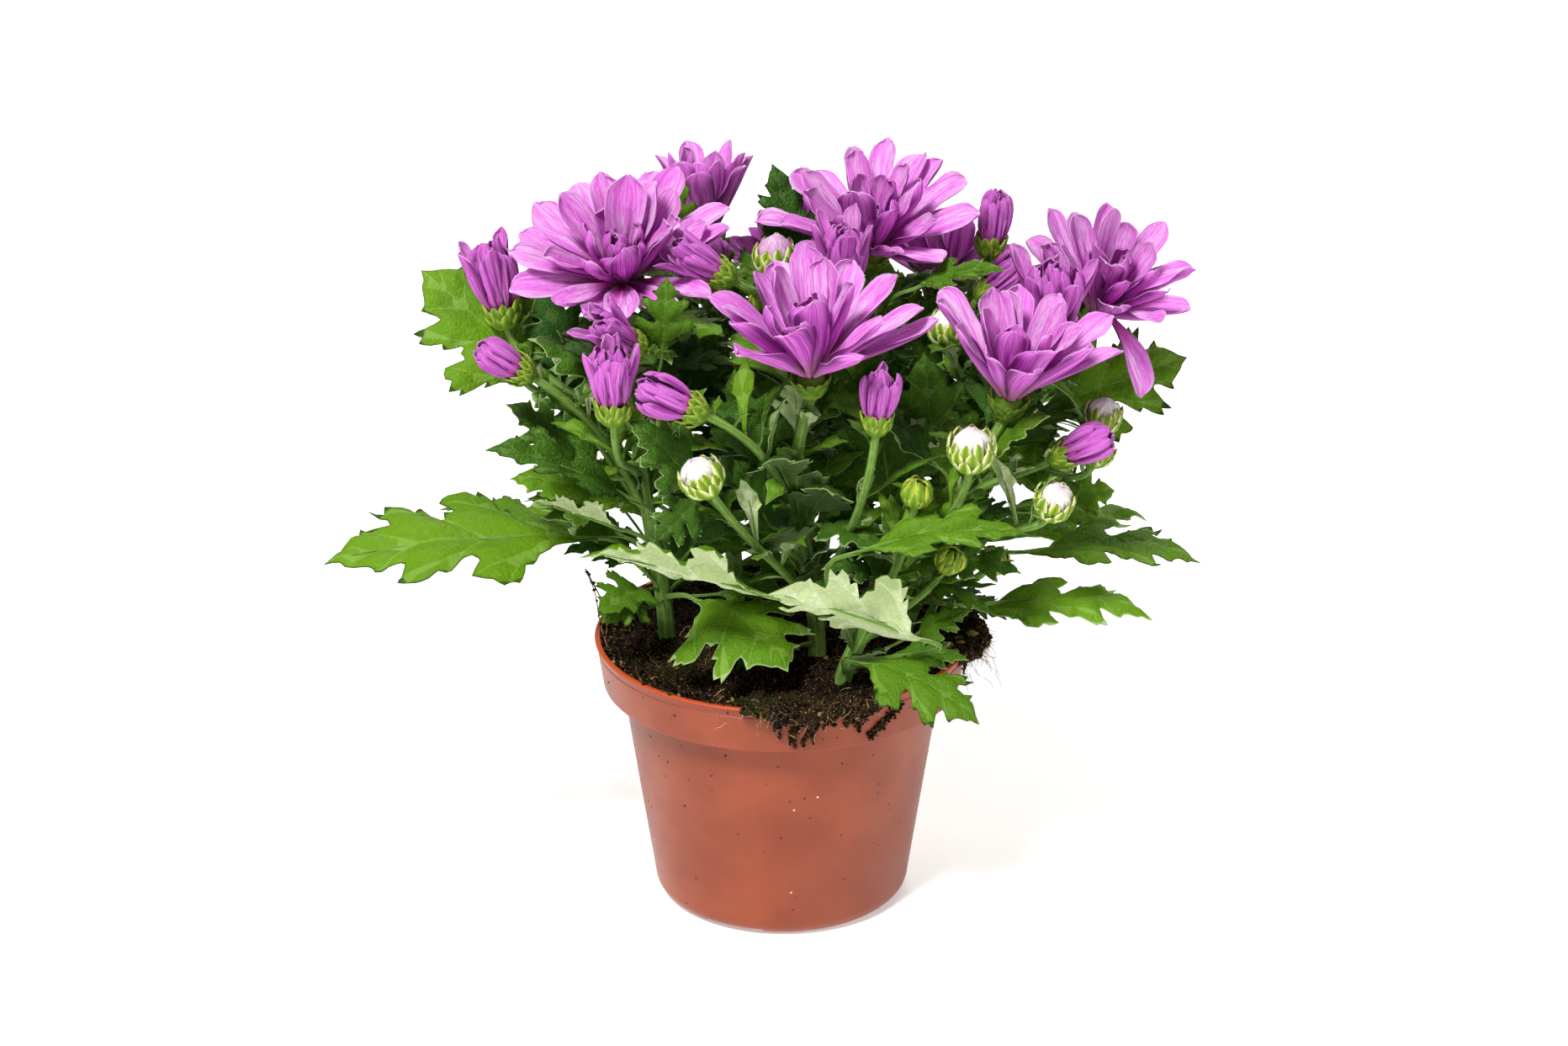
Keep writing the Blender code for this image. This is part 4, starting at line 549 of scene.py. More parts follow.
class Look:
    """A material and short calls that add nodes to it."""

    def __init__(self, name, roughness, gloss=0.5):
        self.name = name
        self.material = bpy.data.materials.new(name + "_finish")
        self.material.use_nodes = True
        self.tree = self.material.node_tree
        self.shader = self.tree.nodes["Principled BSDF"]
        self.shader.inputs["Roughness"].default_value = roughness
        self.shader.inputs["Specular IOR Level"].default_value = gloss

    def node(self, kind, inputs, output=0, **settings):
        made = self.tree.nodes.new("ShaderNode" + kind)
        for title, value in settings.items():
            setattr(made, title, value)
        for key, value in inputs.items():
            if isinstance(value, bpy.types.NodeSocket):
                self.tree.links.new(value, made.inputs[key])
            elif value is not None:
                made.inputs[key].default_value = value
        return made.outputs[output]

    def split(self, vector):
        found = self.node("SeparateXYZ", {0: vector}).node
        return found.outputs[0], found.outputs[1], found.outputs[2]

    def parts_of(self, title):
        """The three numbers of a point attribute."""
        return self.split(self.node("Attribute", {}, "Vector", attribute_name=title))

    def join(self, x, y, z):
        return self.node("CombineXYZ", {0: x, 1: y, 2: z})

    def math(self, operation, a, b=None, c=None):
        return self.node("Math", {0: a, 1: b, 2: c}, operation=operation)

    def times(self, a, b):
        return self.math("MULTIPLY", a, b)

    def step(self, value, low, high):
        """0 below low and 1 above high, or the other way round if low is the greater."""
        inputs = {"Value": value, "From Min": min(low, high), "From Max": max(low, high)}
        inputs["To Min"], inputs["To Max"] = (0.0, 1.0) if low < high else (1.0, 0.0)
        return self.node("MapRange", inputs, interpolation_type="SMOOTHSTEP")

    def noise(self, vector, scale, detail=2.0, rough=0.5):
        inputs = {"Vector": vector, "Scale": scale, "Detail": detail, "Roughness": rough}
        return self.node("TexNoise", inputs, "Fac")

    def streaks(self, x, x_scale, y, y_scale, seed, scale, detail):
        """Noise that is drawn out along x or y and differs from seed to seed."""
        place = self.join(self.times(x, x_scale), self.times(y, y_scale), seed)
        return self.noise(place, scale, detail)

    def cells(self, vector, scale, feature="F1"):
        return self.node("TexVoronoi", {"Vector": vector, "Scale": scale}, "Distance", feature=feature)

    def mix(self, share, a, b):
        inputs = {0: share}
        for key, value in ((6, a), (7, b)):
            inputs[key] = (*value, 1.0) if isinstance(value, tuple) else value
        return self.node("Mix", inputs, 2, data_type="RGBA")

    def tint(self, base, colour, share, strength=None):
        """The base with a share of a colour over it."""
        if strength is not None:
            share = self.times(share, strength)
        return self.mix(share, base, colour)

    def finished(self, colour, height=None, relief=0.0, strength=0.0, glow=0.0):
        """The look with its colour, its bumps, and the light that a thin petal or leaf lets through."""
        self.tree.links.new(colour, self.shader.inputs["Base Color"])
        if height is not None:
            normal = self.node("Bump", {"Height": height, "Distance": relief, "Strength": strength})
            self.tree.links.new(normal, self.shader.inputs["Normal"])
        if glow:
            through = self.node("BsdfTranslucent", {"Color": colour})
            both = self.node("MixShader", {0: glow, 1: self.shader.outputs[0], 2: through})
            self.tree.links.new(both, self.tree.nodes["Material Output"].inputs["Surface"])
        return self


def sheet_faces(rows, columns):
    """Faces of a thick sheet over a grid: its upper side, its lower side and the rim between them."""
    index = np.arange(rows * columns).reshape(rows, columns)
    a, b, c, d = index[:-1, :-1], index[1:, :-1], index[1:, 1:], index[:-1, 1:]
    upper = np.stack((a, b, c, d), -1).reshape(-1, 4)
    loop = np.concatenate((index[:, 0], index[-1, 1:], index[-2::-1, -1], index[0, -2:0:-1]))
    after, below = np.roll(loop, -1), rows * columns
    rim = np.stack((after, loop, loop + below, after + below), -1)
    return [upper, upper[:, ::-1] + below, rim]


def thick_sheet(surface, thickness):
    """Both sides of a sheet, from its middle surface on a grid."""
    normal = np.cross(np.gradient(surface, axis=0), np.gradient(surface, axis=1))
    normal /= np.linalg.norm(normal, axis=2, keepdims=True) + 1e-12
    offset = normal * thickness[..., None] / 2
    return np.concatenate(((surface + offset).reshape(-1, 3), (surface - offset).reshape(-1, 3)))


Blade = namedtuple(
    "Blade", "azimuth radius height rise curl hook length width roll sway twist tip wave seed depth",
)


def blade_of(layer, k, rng, rise, length, width, scale=1.0, spread=0.0, loose=1.0):
    """One petal of a layer, with its own small differences."""
    return Blade(
        azimuth=2 * math.pi * (k + spread + rng.uniform(-0.10, 0.10) * loose) / layer.count,
        radius=layer.root_radius * scale,
        height=layer.root_height * scale,
        rise=rise + rng.uniform(-8, 8) * loose,
        curl=layer.curl + rng.uniform(-7, 7) * loose,
        hook=layer.hook + rng.uniform(-14, 26) * loose,
        length=length * rng.uniform(0.88, 1.05),
        width=width * rng.uniform(0.92, 1.22),
        roll=layer.roll * rng.uniform(0.8, 1.25),
        sway=rng.uniform(-0.09, 0.09) * loose,
        twist=rng.uniform(-28, 28) * loose,
        tip=rng.uniform(0.00, 0.05),
        wave=rng.uniform(0.2, 1.0) * loose,
        seed=rng.random(),
        depth=layer.depth,
    )


def blade_surface(blade, rows, columns, wide):
    """The middle surface of a petal or bract in its flower's frame, and each point's (along, out).

    The blade leaves the axis along its azimuth and rises by its angle. It is rolled to a channel at the
    root, opens to a shallow trough with two soft folds, and hooks at the tip.
    """
    t = 1 - (1 - np.linspace(0, 1, rows)[:, None]) ** 1.5
    v = np.linspace(-1, 1, columns)[None, :]
    share = t * (1 - blade.tip * v**2 * t**4)
    fine = np.linspace(0, 1, 60)
    bend = blade.rise + blade.curl * fine + blade.hook * faded(fine, 0.72, 1.15) * 2
    way = np.radians(bend)
    out = np.concatenate(([0], np.cumsum((np.cos(way[1:]) + np.cos(way[:-1])) / 2))) / 59
    rise = np.concatenate(([0], np.cumsum((np.sin(way[1:]) + np.sin(way[:-1])) / 2))) / 59
    angle = np.interp(share, fine, way)
    half = blade.width / 2 * wide(t)
    roll = blade.roll * np.interp(t, (0.0, 0.3, 0.65, 0.9, 1.0), (2.1, 1.25, 0.80, 0.65, 0.80))
    across = half * np.sin(roll * v) / roll
    lift = half * (1 - np.cos(roll * v)) / roll
    fold = faded(t, 0.1, 0.4) * (1 - 0.7 * faded(t, 0.6, 1.0)) * blade.width * 0.06
    lift = lift + fold * np.cos(v * 3 * math.pi) * (1 - v**2)
    ripple = np.sin(t * 9 + blade.seed * 40 + v * 2) * np.abs(v) ** 3 * faded(t, 0.25, 0.9)
    lift = lift + ripple * blade.width * 0.12 * blade.wave
    twist = np.radians(blade.twist) * share
    turned = across * np.cos(twist) - lift * np.sin(twist)
    lift = across * np.sin(twist) + lift * np.cos(twist)
    across = turned + blade.length * blade.sway * share**2
    reach = blade.radius + blade.length * np.interp(share, fine, out) - lift * np.sin(angle)
    height = blade.height + blade.length * np.interp(share, fine, rise) + lift * np.cos(angle)
    cos, sin = math.cos(blade.azimuth), math.sin(blade.azimuth)
    surface = np.stack((reach * cos - across * sin, reach * sin + across * cos, height), -1)
    return surface, share, np.broadcast_to(v, share.shape)


def petal_wide(t):
    """A petal's width along it: slim at the root, widest past the middle, and rounded at the tip."""
    end = 0.975 * np.clip((t - 0.82) / 0.18, 0, 1)
    return (0.28 + 0.72 * faded(t, 0.0, 0.62)) * np.sqrt(1 - end**2)


def bract_wide(t):
    """A bract's width along it: broad, with a blunt point."""
    return (0.80 + 0.20 * faded(t, 0.0, 0.4)) * np.sqrt(1 - 0.96 * np.clip((t - 0.60) / 0.40, 0, 1) ** 2)


def add_blade(skin, place, blade, rows, columns, wide, thickness, slot=0):
    """A thick petal or bract. Its look reads (along, out, seed) and (depth, side, edge)."""
    surface, share, v = blade_surface(blade, rows, columns, wide)
    thick = thickness * (1 - 0.55 * np.maximum(np.abs(v), faded(share, 0.8, 1.0)) ** 3)
    points = moved(thick_sheet(surface, thick), place)
    grain = np.stack((share, v, np.full(v.shape, blade.seed)), -1).reshape(-1, 3)
    edge = np.maximum(np.abs(v) ** 4, faded(share, 0.90, 1.0))
    upper, lower = (
        np.stack((np.full(v.shape, blade.depth), np.full(v.shape, side), edge), -1).reshape(-1, 3)
        for side in (0.0, 1.0)
    )
    facts = np.concatenate((upper, lower))
    skin.add(points, sheet_faces(rows, columns), np.tile(grain, (2, 1)), facts, slot)


class Obstacles:
    """Search trees of everything that petals and leaves keep clear of, each with its owner and its box."""

    def __init__(self):
        self.rows = []
        for name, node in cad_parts.items():
            points = np.array([v.co for v in node.data.vertices])
            faces = [tuple(p.vertices) for p in node.data.polygons]
            self.add(name, points, BVHTree.FromPolygons(points.tolist(), faces))

    def add(self, owner, points, tree):
        self.rows.append((owner, points.min(axis=0), points.max(axis=0), tree))

    def near(self, owner, points):
        """The trees of other owners whose boxes meet that of the points."""
        low, high = points.min(axis=0), points.max(axis=0)
        return [
            tree for name, a, b, tree in self.rows
            if name != owner and (a < high).all() and (b > low).all()
        ]


def coarse_tree(surface, place):
    """A search tree of a petal's surface, from near its root on."""
    part = surface[2::2, ::2]
    rows, columns = part.shape[:2]
    points = moved(part.reshape(-1, 3), place)
    return points, BVHTree.FromPolygons(points.tolist(), sheet_faces(rows, columns)[0].tolist())


def clear_blade(obstacles, owner, place, blade, rows, columns):
    """The petal, raised or lowered until it is clear of the plant's other nodes, or None."""
    best, fewest = None, None
    for bend in PETAL_BENDS:
        trial = blade._replace(rise=blade.rise + bend)
        points, tree = coarse_tree(blade_surface(trial, rows, columns, petal_wide)[0], place)
        crossings = sum(len(tree.overlap(other)) for other in obstacles.near(owner, points))
        if best is None or crossings < fewest:
            best, fewest, kept = trial, crossings, (points, tree)
        if not crossings:
            break
    if fewest > MOST_CROSSINGS:
        return None
    obstacles.add(owner, *kept)
    return best


def petals_of(name, head):
    """The blades of a bloom, a half-open head or a pale bud, from the outside in."""
    rng = random.Random(name)
    found = []

    def grow(layer, rise, **changes):
        length, width = head.size * layer.length, head.size * layer.width
        for k in range(layer.count):
            found.append(blade_of(layer, k, rng, rise, length, width, **changes))

    if head.kind == BLOOM:
        for n, layer in enumerate(BLOOM_LAYERS):
            if head.openness < 0.6 and n < 4:
                layer = layer._replace(count=layer.count - 2, width=layer.width * 1.06)
            rise = min(RISE_TIGHT - RISE_DROP * head.openness + layer.rise, RISE_MOST)
            grow(layer, rise, spread=0.5 * n)
        for azimuth, rise, curl, length, width in LONE_PETALS.get(name, ()):
            grow(BLOOM_LAYERS[0]._replace(count=1, curl=curl, length=length, width=width), rise)
            found[-1] = found[-1]._replace(azimuth=math.radians(azimuth))
    elif head.kind == OPENING:
        layers = ((LOOSE_LAYER,) if head.openness >= LOOSE_OPENNESS else ()) + OPENING_LAYERS
        for n, layer in enumerate(layers):
            drop = LOOSE_DROP if layer is LOOSE_LAYER else OPENING_DROP
            grow(layer, layer.rise - drop * head.openness, scale=head.size, spread=0.37 * n, loose=0.7)
    else:
        for n, layer in enumerate(PALE_LAYERS):
            grow(layer, layer.rise, scale=head.size, spread=0.5 * n, loose=0.25)
        found = [blade._replace(depth=0.8 if "pink" in name else 0.0) for blade in found]
    return found


def turned_body(place, profile, sides):
    """A turned body, closed at its foot and top: points, faces and each point's share of the height."""
    profile = np.array(profile)
    angles = np.linspace(0, 2 * math.pi, sides, endpoint=False)
    radius, height = profile[:, :1], profile[:, 1:]
    ring = np.stack((radius * np.cos(angles), radius * np.sin(angles), height + 0 * angles), -1)
    index = np.arange(len(profile) * sides).reshape(-1, sides)
    after = np.roll(index, -1, axis=1)
    walls = np.stack((index[:-1], after[:-1], after[1:], index[1:]), -1).reshape(-1, 4)
    share = np.repeat(np.linspace(0, 1, len(profile)), sides)
    return moved(ring.reshape(-1, 3), place), [walls, index[:1, ::-1], index[-1:]], share


def round_profile(radius, foot, top, flat=0.5, count=9):
    """The section of a rounded body, from its foot to its top."""
    rows = []
    for angle in np.linspace(-math.pi / 2 * 0.98, math.pi / 2 * 0.98, count):
        height = (foot + top) / 2 + (top - foot) / 2 * math.sin(angle)
        rows.append((radius * math.cos(angle) ** flat, height))
    return rows


def add_core(skin, place, profile, sides, seed, facts, slot=0):
    """A round body inside petals or bracts. Its look reads (share of height, 0, seed)."""
    points, faces, share = turned_body(place, profile, sides)
    skin.add(points, faces, np.stack((share, 0 * share, 0 * share + seed), -1), facts, slot)


def add_petals(obstacles, looks):
    """A piece of petals for each bloom, half-open head and pale bud."""
    for kind in (OPENING, PALE_BUD, BLOOM):
        title = "pale_petal" if kind == PALE_BUD else "petal"
        radius, foot, top, sides, facts = CORES[kind]
        for name, head in HEADS.items():
            if head.kind != kind:
                continue
            skin, place = Skin(), head_place(head)
            for blade in petals_of(name, head):
                rows = 13 if blade.length > LONG_PETAL else 10
                columns = 9 if blade.width > BROAD_PETAL else 7
                if kind != PALE_BUD:
                    blade = clear_blade(obstacles, name, place, blade, rows, columns)
                if blade:
                    add_blade(skin, place, blade, rows, columns, petal_wide, PETAL_THICKNESS)
            scale = head.size / CORE_BLOOM_SIZE if kind == BLOOM else head.size
            small = place @ Matrix.Scale(scale, 4)
            add_core(skin, small, round_profile(radius, foot, top), sides, 0, facts)
            make_piece(name + "_petals", skin, [looks[title]], [name])


class Leaf:
    """A lobed blade on its petiole, laid from its foot to its tip."""

    def __init__(self, start, foot, tip, facing, wide, arch=COMMON_ARCH, fold=COMMON_FOLD):
        self.start, self.foot, self.tip, self.facing = start, foot, tip, Vector(facing)
        self.wide, self.arch, self.fold = wide, arch, math.radians(fold)

    def turned(self, turn, tilt):
        """The same leaf, swung about the upright line through its root and tilted there."""
        made, away = copy.copy(self), self.tip - self.start
        side = Vector((away.y, -away.x, 0)).normalized()
        swing = Matrix.Rotation(math.radians(turn), 3, "Z") @ Matrix.Rotation(math.radians(tilt), 3, side)
        made.foot = self.start + swing @ (self.foot - self.start)
        made.tip = self.start + swing @ (self.tip - self.start)
        made.facing = swing @ self.facing
        return made

    def axes(self):
        forward = (self.tip - self.foot).normalized()
        return forward, *sides_of(forward, self.facing)

    def length(self):
        return (self.tip - self.foot).length

    def at(self, along, out):
        """The blade's middle surface: along the midrib and out to its right, in shares of the length."""
        forward, right, up = (np.array(axis) for axis in self.axes())
        along, out, length = np.asarray(along)[:, None], np.asarray(out)[:, None], self.length()
        reach = out * self.wide * length
        lift = self.arch * length * 4 * along * (1 - along) + np.abs(reach) * math.sin(self.fold)
        droop = reach * reach / length * LEAF_DROOP
        flat = forward * along * length + right * reach * math.cos(self.fold)
        return np.array(self.foot) + flat + up * (lift - droop)


# The corners of the plain solid's leaf outline, on one side, which show how far a leaf was turned
SOLID_EDGE = (
    (0.20, 0.14), (0.40, 0.42), (0.52, 0.34), (0.46, 0.12), (0.62, 0.26), (0.78, 0.32), (0.73, 0.11),
)
SAME_POINT = 0.0001
FEW_CORNERS = 5


def settled_leaf(leaf, corners):
    """The leaf as its plain solid stands: turned and tilted until its corners are the solid's own."""
    along, out = np.array(((1.0, 0.0),) + SOLID_EDGE + tuple((a, -o) for a, o in SOLID_EDGE)).T
    best, most = None, FEW_CORNERS
    for turn in LEAF_TURNS:
        for tilt in LEAF_TILTS:
            trial = leaf.turned(turn, tilt)
            same = sum(corners.find(p)[2] < SAME_POINT for p in trial.at(along, out))
            if same > most:
                best, most = trial, same
    return best


def smooth_line(points, per_span):
    """Points on the smooth curve through a row of plane points."""
    line = [Vector((a, b, 0)) for a, b in points]
    count = (len(line) - 1) * per_span
    return [tuple(curve_point(line, i / count).xy) for i in range(count + 1)]


def line_distance(points, line):
    """How far each plane point is from a broken line."""
    found = np.full(len(points), 9.0)
    for a, b in zip(line[:-1], line[1:]):
        a, way = np.array(a), np.array(b) - np.array(a)
        share = np.clip((points - a) @ way / (way @ way), 0, 1)
        found = np.minimum(found, np.linalg.norm(points - a - share[:, None] * way, axis=1))
    return found


class LeafPlan:
    """A leaf spread flat: its mesh in shares of the length, and each point's distance to veins and edge."""

    def __init__(self, seed, shape, branches, step, per_span):
        rng = random.Random(seed)
        count = 30 if step < 0.05 else 11
        outline, veins = [], [[(i / count, 0.0) for i in range(count + 1)]]
        for side in (1, -1):
            rows, shallow = [], rng.uniform(1.0, 1.7)
            for along, out, tooth in shape:
                far = rng.uniform(0.0, 0.09) if tooth else rng.uniform(-0.03, 0.03)
                if 0.45 < along < 0.77 and out < 0.16:
                    far += shallow - 1
                rows.append((along + far * 0.12, side * out * (1 + far)))
            half = smooth_line(rows + [(1.0, 0.0)], per_span)
            outline += half if side > 0 else half[-2::-1]
            for vein in branches:
                veins.append([(a, side * o) for a, o in smooth_line(vein, per_span + 1)])
        points, edges = list(outline), []
        for vein in veins:
            first = len(points)
            inside = vein if vein is not veins[0] else vein[1:-1]
            points += inside
            edges += [(first + i, first + i + 1) for i in range(len(inside) - 1)]
        fixed = np.array(points)
        closed = outline + outline[:1]
        spread = np.array([
            (along, out + row % 2 * step / 2)
            for row, along in enumerate(np.arange(0.06, 1.0, step * 0.87), 1)
            for out in np.arange(-0.48, 0.5, step)
        ])
        gap = np.min(np.linalg.norm(spread[:, None] - fixed[None], axis=2), axis=1)
        spread = spread[gap > step * 0.55]
        everything = [Vector(p) for p in points] + [Vector(p) for p in spread.tolist()]
        made = delaunay_2d_cdt(everything, edges, [list(range(len(outline)))], 1, 1e-6)
        used, faces = np.unique([f for f in made[2] if len(f) == 3], return_inverse=True)
        faces = faces.reshape(-1, 3)
        self.points = np.array([tuple(p) for p in made[0]])[used]
        a, b, c = (self.points[faces[:, i]] for i in range(3))
        turn = (b[:, 0] - a[:, 0]) * (c[:, 1] - a[:, 1]) - (b[:, 1] - a[:, 1]) * (c[:, 0] - a[:, 0])
        faces[turn > 0] = faces[turn > 0][:, ::-1]
        self.upper = faces
        apart = [line_distance(self.points, vein) for vein in veins]
        self.vein = np.min([apart[0] * 0.7] + apart[1:], axis=0)
        self.edge = line_distance(self.points, closed)
        ends = np.concatenate((faces[:, :2], faces[:, 1:], faces[:, ::2][:, ::-1]))
        paired = {tuple(pair) for pair in ends.tolist()}
        self.border = np.array([pair for pair in paired if pair[::-1] not in paired])


def mesh_normals(points, faces):
    """Each point's normal, from the triangles round it."""
    a, b, c = (points[faces[:, i]] for i in range(3))
    square = np.cross(b - a, c - a)
    found = np.zeros_like(points)
    for i in range(3):
        np.add.at(found, faces[:, i], square)
    return found / (np.linalg.norm(found, axis=1, keepdims=True) + 1e-12)


def waves(points, scale, seed):
    """Smooth noise at each plane point."""
    return np.array([noise.noise(Vector((a * scale, b * scale, seed * 31))) for a, b in points])


def add_leaf(skin, leaf, plan, seed, tone):
    """A leaf with sunken veins, soft bulges between them, and edges that curve down."""
    length, count = leaf.length(), len(plan.points)
    along, out = plan.points.T
    quilt = 1 - np.exp(-((plan.vein / VEIN_REACH) ** 2))
    curl = LEAF_EDGE_CURLS[seed > 0.6]
    relief = LEAF_BULGE * quilt - curl * np.exp(-((plan.edge / EDGE_REACH) ** 2))
    for height, scale, shift in LEAF_WAVES:
        relief = relief + height * waves(plan.points, scale, seed + shift)
    relief = relief * faded(along, 0.0, 0.15) * (length / COMMON_LEAF) ** -0.3
    surface = leaf.at(along, out) + np.array(leaf.axes()[2]) * (relief * length)[:, None]
    thick = LEAF_THICKNESS * (0.55 + 0.45 * faded(plan.edge, 0.0, 0.03))
    offset = mesh_normals(surface, plan.upper) * thick[:, None] / 2
    grain = np.stack((along, out * leaf.wide, np.full(count, seed)), -1)
    facts = np.stack((plan.vein, plan.edge, np.full(count, tone)), -1)
    skin.add(surface + offset, [plan.upper], grain, facts, 0)
    skin.add(surface - offset, [plan.upper[:, ::-1]], grain, facts, 1)
    a, b = plan.border.T + skin.count - 2 * count
    skin.faces += np.stack((b, a, a + count, b + count), -1).tolist()
    skin.slots += [0] * len(a)


def solid_outline(leaf):
    """A leaf's rough shape: its points and their search tree."""
    outline = ((0.0, 0.0),) + SOLID_EDGE + ((1.0, 0.0),) + tuple((a, -o) for a, o in reversed(SOLID_EDGE))
    count = len(outline)
    points = leaf.at(*np.array(outline + ((0.5, 0.0),)).T)
    fan = [(i, (i + 1) % count, count) for i in range(count)]
    return points, BVHTree.FromPolygons(points.tolist(), fan)


def room_for(obstacles, stem, leaf):
    """Whether the leaf is clear of the other nodes. If so, later leaves and petals keep clear of it."""
    points, tree = solid_outline(leaf)
    clear = not any(tree.overlap(other) for other in obstacles.near(stem, points))
    if clear:
        obstacles.add(stem + "_more", points, tree)
    return clear


def clear_leaf(obstacles, stem, leaf):
    """The leaf, swung until it is clear of the other nodes, or None."""
    for turn in LEAF_TURNS:
        trial = leaf.turned(turn, 0)
        if room_for(obstacles, stem, trial):
            return trial
    return None


def free_leaf(obstacles, stem, start, rng, sprig):
    """A leaf that leaves start in some free direction, or None where there is no room for it."""
    for _ in range(LEAF_TRIES):
        azimuth, rise = rng.uniform(0, 2 * math.pi), math.radians(rng.uniform(*sprig.lift))
        length, drop = rng.uniform(*sprig.length), math.radians(rng.uniform(0, 35))
        away = Vector((math.cos(azimuth), math.sin(azimuth), 0))
        first = away * math.cos(rise) + Vector((0, 0, math.sin(rise)))
        then = away * math.cos(rise - drop) + Vector((0, 0, math.sin(rise - drop)))
        foot = start + first * length * sprig.petiole
        facing = Vector((rng.uniform(-0.5, 0.5), rng.uniform(-0.5, 0.3), 0)) - away * math.sin(rise) * 0.8
        facing.z = math.cos(rise) + 0.1
        arch, fold = rng.uniform(0.02, 0.14), rng.uniform(0, 22)
        leaf = Leaf(start, foot, foot + then * length, facing, sprig.wide, arch, fold)
        inside = all(low < value < high for value, (low, high) in zip(leaf.tip, MORE_LEAVES_REACH))
        if inside and room_for(obstacles, stem, leaf):
            return leaf
    return None


def add_tube(skin, path, radii, sides, seed, ribs=0.0):
    """A smooth tube with closed ends and, on a stalk, ribs along it."""
    angles = np.linspace(0, 2 * math.pi, sides, endpoint=False)
    swell = 1 + ribs * np.cos(angles * sides / 2)
    hint, rings, run, before = Vector((0.3, 1.0, 0.2)), [], [], None
    for i, centre in enumerate(path):
        way = (path[min(i + 1, len(path) - 1)] - path[max(i - 1, 0)]).normalized()
        side, hint = sides_of(way, hint)
        round_ = np.outer(np.cos(angles) * swell, side) + np.outer(np.sin(angles) * swell, hint)
        rings.append(np.array(centre) + round_ * radii[i])
        run.append(0.0 if before is None else run[-1] + (centre - before).length)
        before = centre
    index = np.arange(len(path) * sides).reshape(-1, sides)
    after = np.roll(index, -1, axis=1)
    walls = np.stack((index[:-1], index[1:], after[1:], after[:-1]), -1).reshape(-1, 4)
    ridge = np.tile(np.cos(angles * sides / 2) * 0.5 + 0.5, len(path))
    turn = np.tile(angles / (2 * math.pi), len(path))
    grain = np.stack((np.repeat(run, sides) * 100, turn, np.full(len(turn), seed)), -1)
    facts = np.stack((ridge, 0 * ridge, 0 * ridge), -1)
    skin.add(np.concatenate(rings), [walls, index[:1], index[-1:, ::-1]], grain, facts)


def add_bracts(skin, head, place, rng, slot):
    """The green cup under a flower: a round body under three rows of overlapping bracts."""
    rows, scale, radius, top, dark = CUPS[head.kind]
    if head.kind != BLOOM:
        scale = head.size * scale
    small = place @ Matrix.Scale(scale, 4)
    add_core(skin, small, round_profile(radius, CUP_FOOT, top), 20, rng.random(), (0.0, 1.0, 0.0), slot)
    for n, layer in enumerate(rows):
        for k in range(layer.count):
            blade = blade_of(layer, k, rng, layer.rise, layer.length, layer.width, 1.0, 0.5 * n, 0.5)
            blade = blade._replace(wave=0.0, depth=dark, twist=0.0, hook=0.0)
            add_blade(skin, small, blade, 5, 5, bract_wide, BRACT_THICKNESS / scale, slot)


def leaf_tone_and_shade(name, rng):
    """0 for bright outer leaves, 0.5 for olive ones, 1 for bluish ones and shaded ones, dark as painted
    shade.
    """
    if any(word in name for word in ("blue", "dark", "inner", "centre", "left_mid")):
        return rng.uniform(0.65, 1.0)
    if any(word in name for word in ("low_right", "upright", "small", "olive", "soil")):
        return rng.uniform(0.40, 0.60)
    return rng.uniform(0.0, 0.30)


def add_stalks(skin, stem, course, rng):
    """A stem's main stalk, and the cup and side stalk of each head. Gives the side stalks' paths."""
    steps, slimming = MAIN_STEPS - 1, MAIN_RADIUS_TOP - MAIN_RADIUS_FOOT
    path = [course(i / steps) for i in range(MAIN_STEPS)]
    radii = [MAIN_RADIUS_FOOT + slimming * i / steps for i in range(MAIN_STEPS)]
    add_tube(skin, path, radii, 14, rng.random(), ribs=0.06)
    twigs = []
    for head in HEADS.values():
        if head.stem != stem:
            continue
        add_bracts(skin, head, head_place(head), rng, 1)
        if head.share < 1:
            start = course(head.share)
            way = (course(head.share + 0.02) - course(head.share - 0.02)).normalized()
            leave = way * 0.5 + (head.foot - start).normalized() * 0.8
            path = eased_path(start, leave, head.foot, head.axis, STALK_STEPS)
            add_tube(skin, path, [STALK_RADIUS] * STALK_STEPS, 12, rng.random(), ribs=0.07)
            twigs.append(path)
    return twigs


def more_leaves(obstacles, stem, course, twigs, rng, plans, small, slim):
    """Leaves beyond those of the plain solid, each as (leaf or None, its choice of plans, its tone)."""
    found = []
    for n in range(SMALL_LEAF_COUNT):
        start = course(rng.uniform(*SMALL_LEAF_SPANS[n % 3]))
        found.append((free_leaf(obstacles, stem, start, rng, SMALL_LEAF), small, SMALL_LEAF.tone))
    for share, foot, tip in SHADE_LEAVES.get(stem, ()):
        leaf = Leaf(course(share), metres(foot), metres(tip), *SHADE_LEAF_SHAPE)
        found.append((clear_leaf(obstacles, stem, leaf), plans[:1] + small, SHADE_TONE))
    upper = [course(0.4 + i / (MAIN_STEPS - 1)) for i in range(STALK_STEPS)]
    whole = [course(i / (STALK_STEPS - 1)) for i in range(STALK_STEPS)]
    for path, places, sprig in ((upper, SLIM_PLACES, SLIM_LEAF), (whole, CUP_PLACES, CUP_LEAF)):
        for stalk in twigs + [path]:
            for place in places:
                leaf = free_leaf(obstacles, stem, stalk[place], rng, sprig)
                found.append((leaf, slim, sprig.tone))
    return found


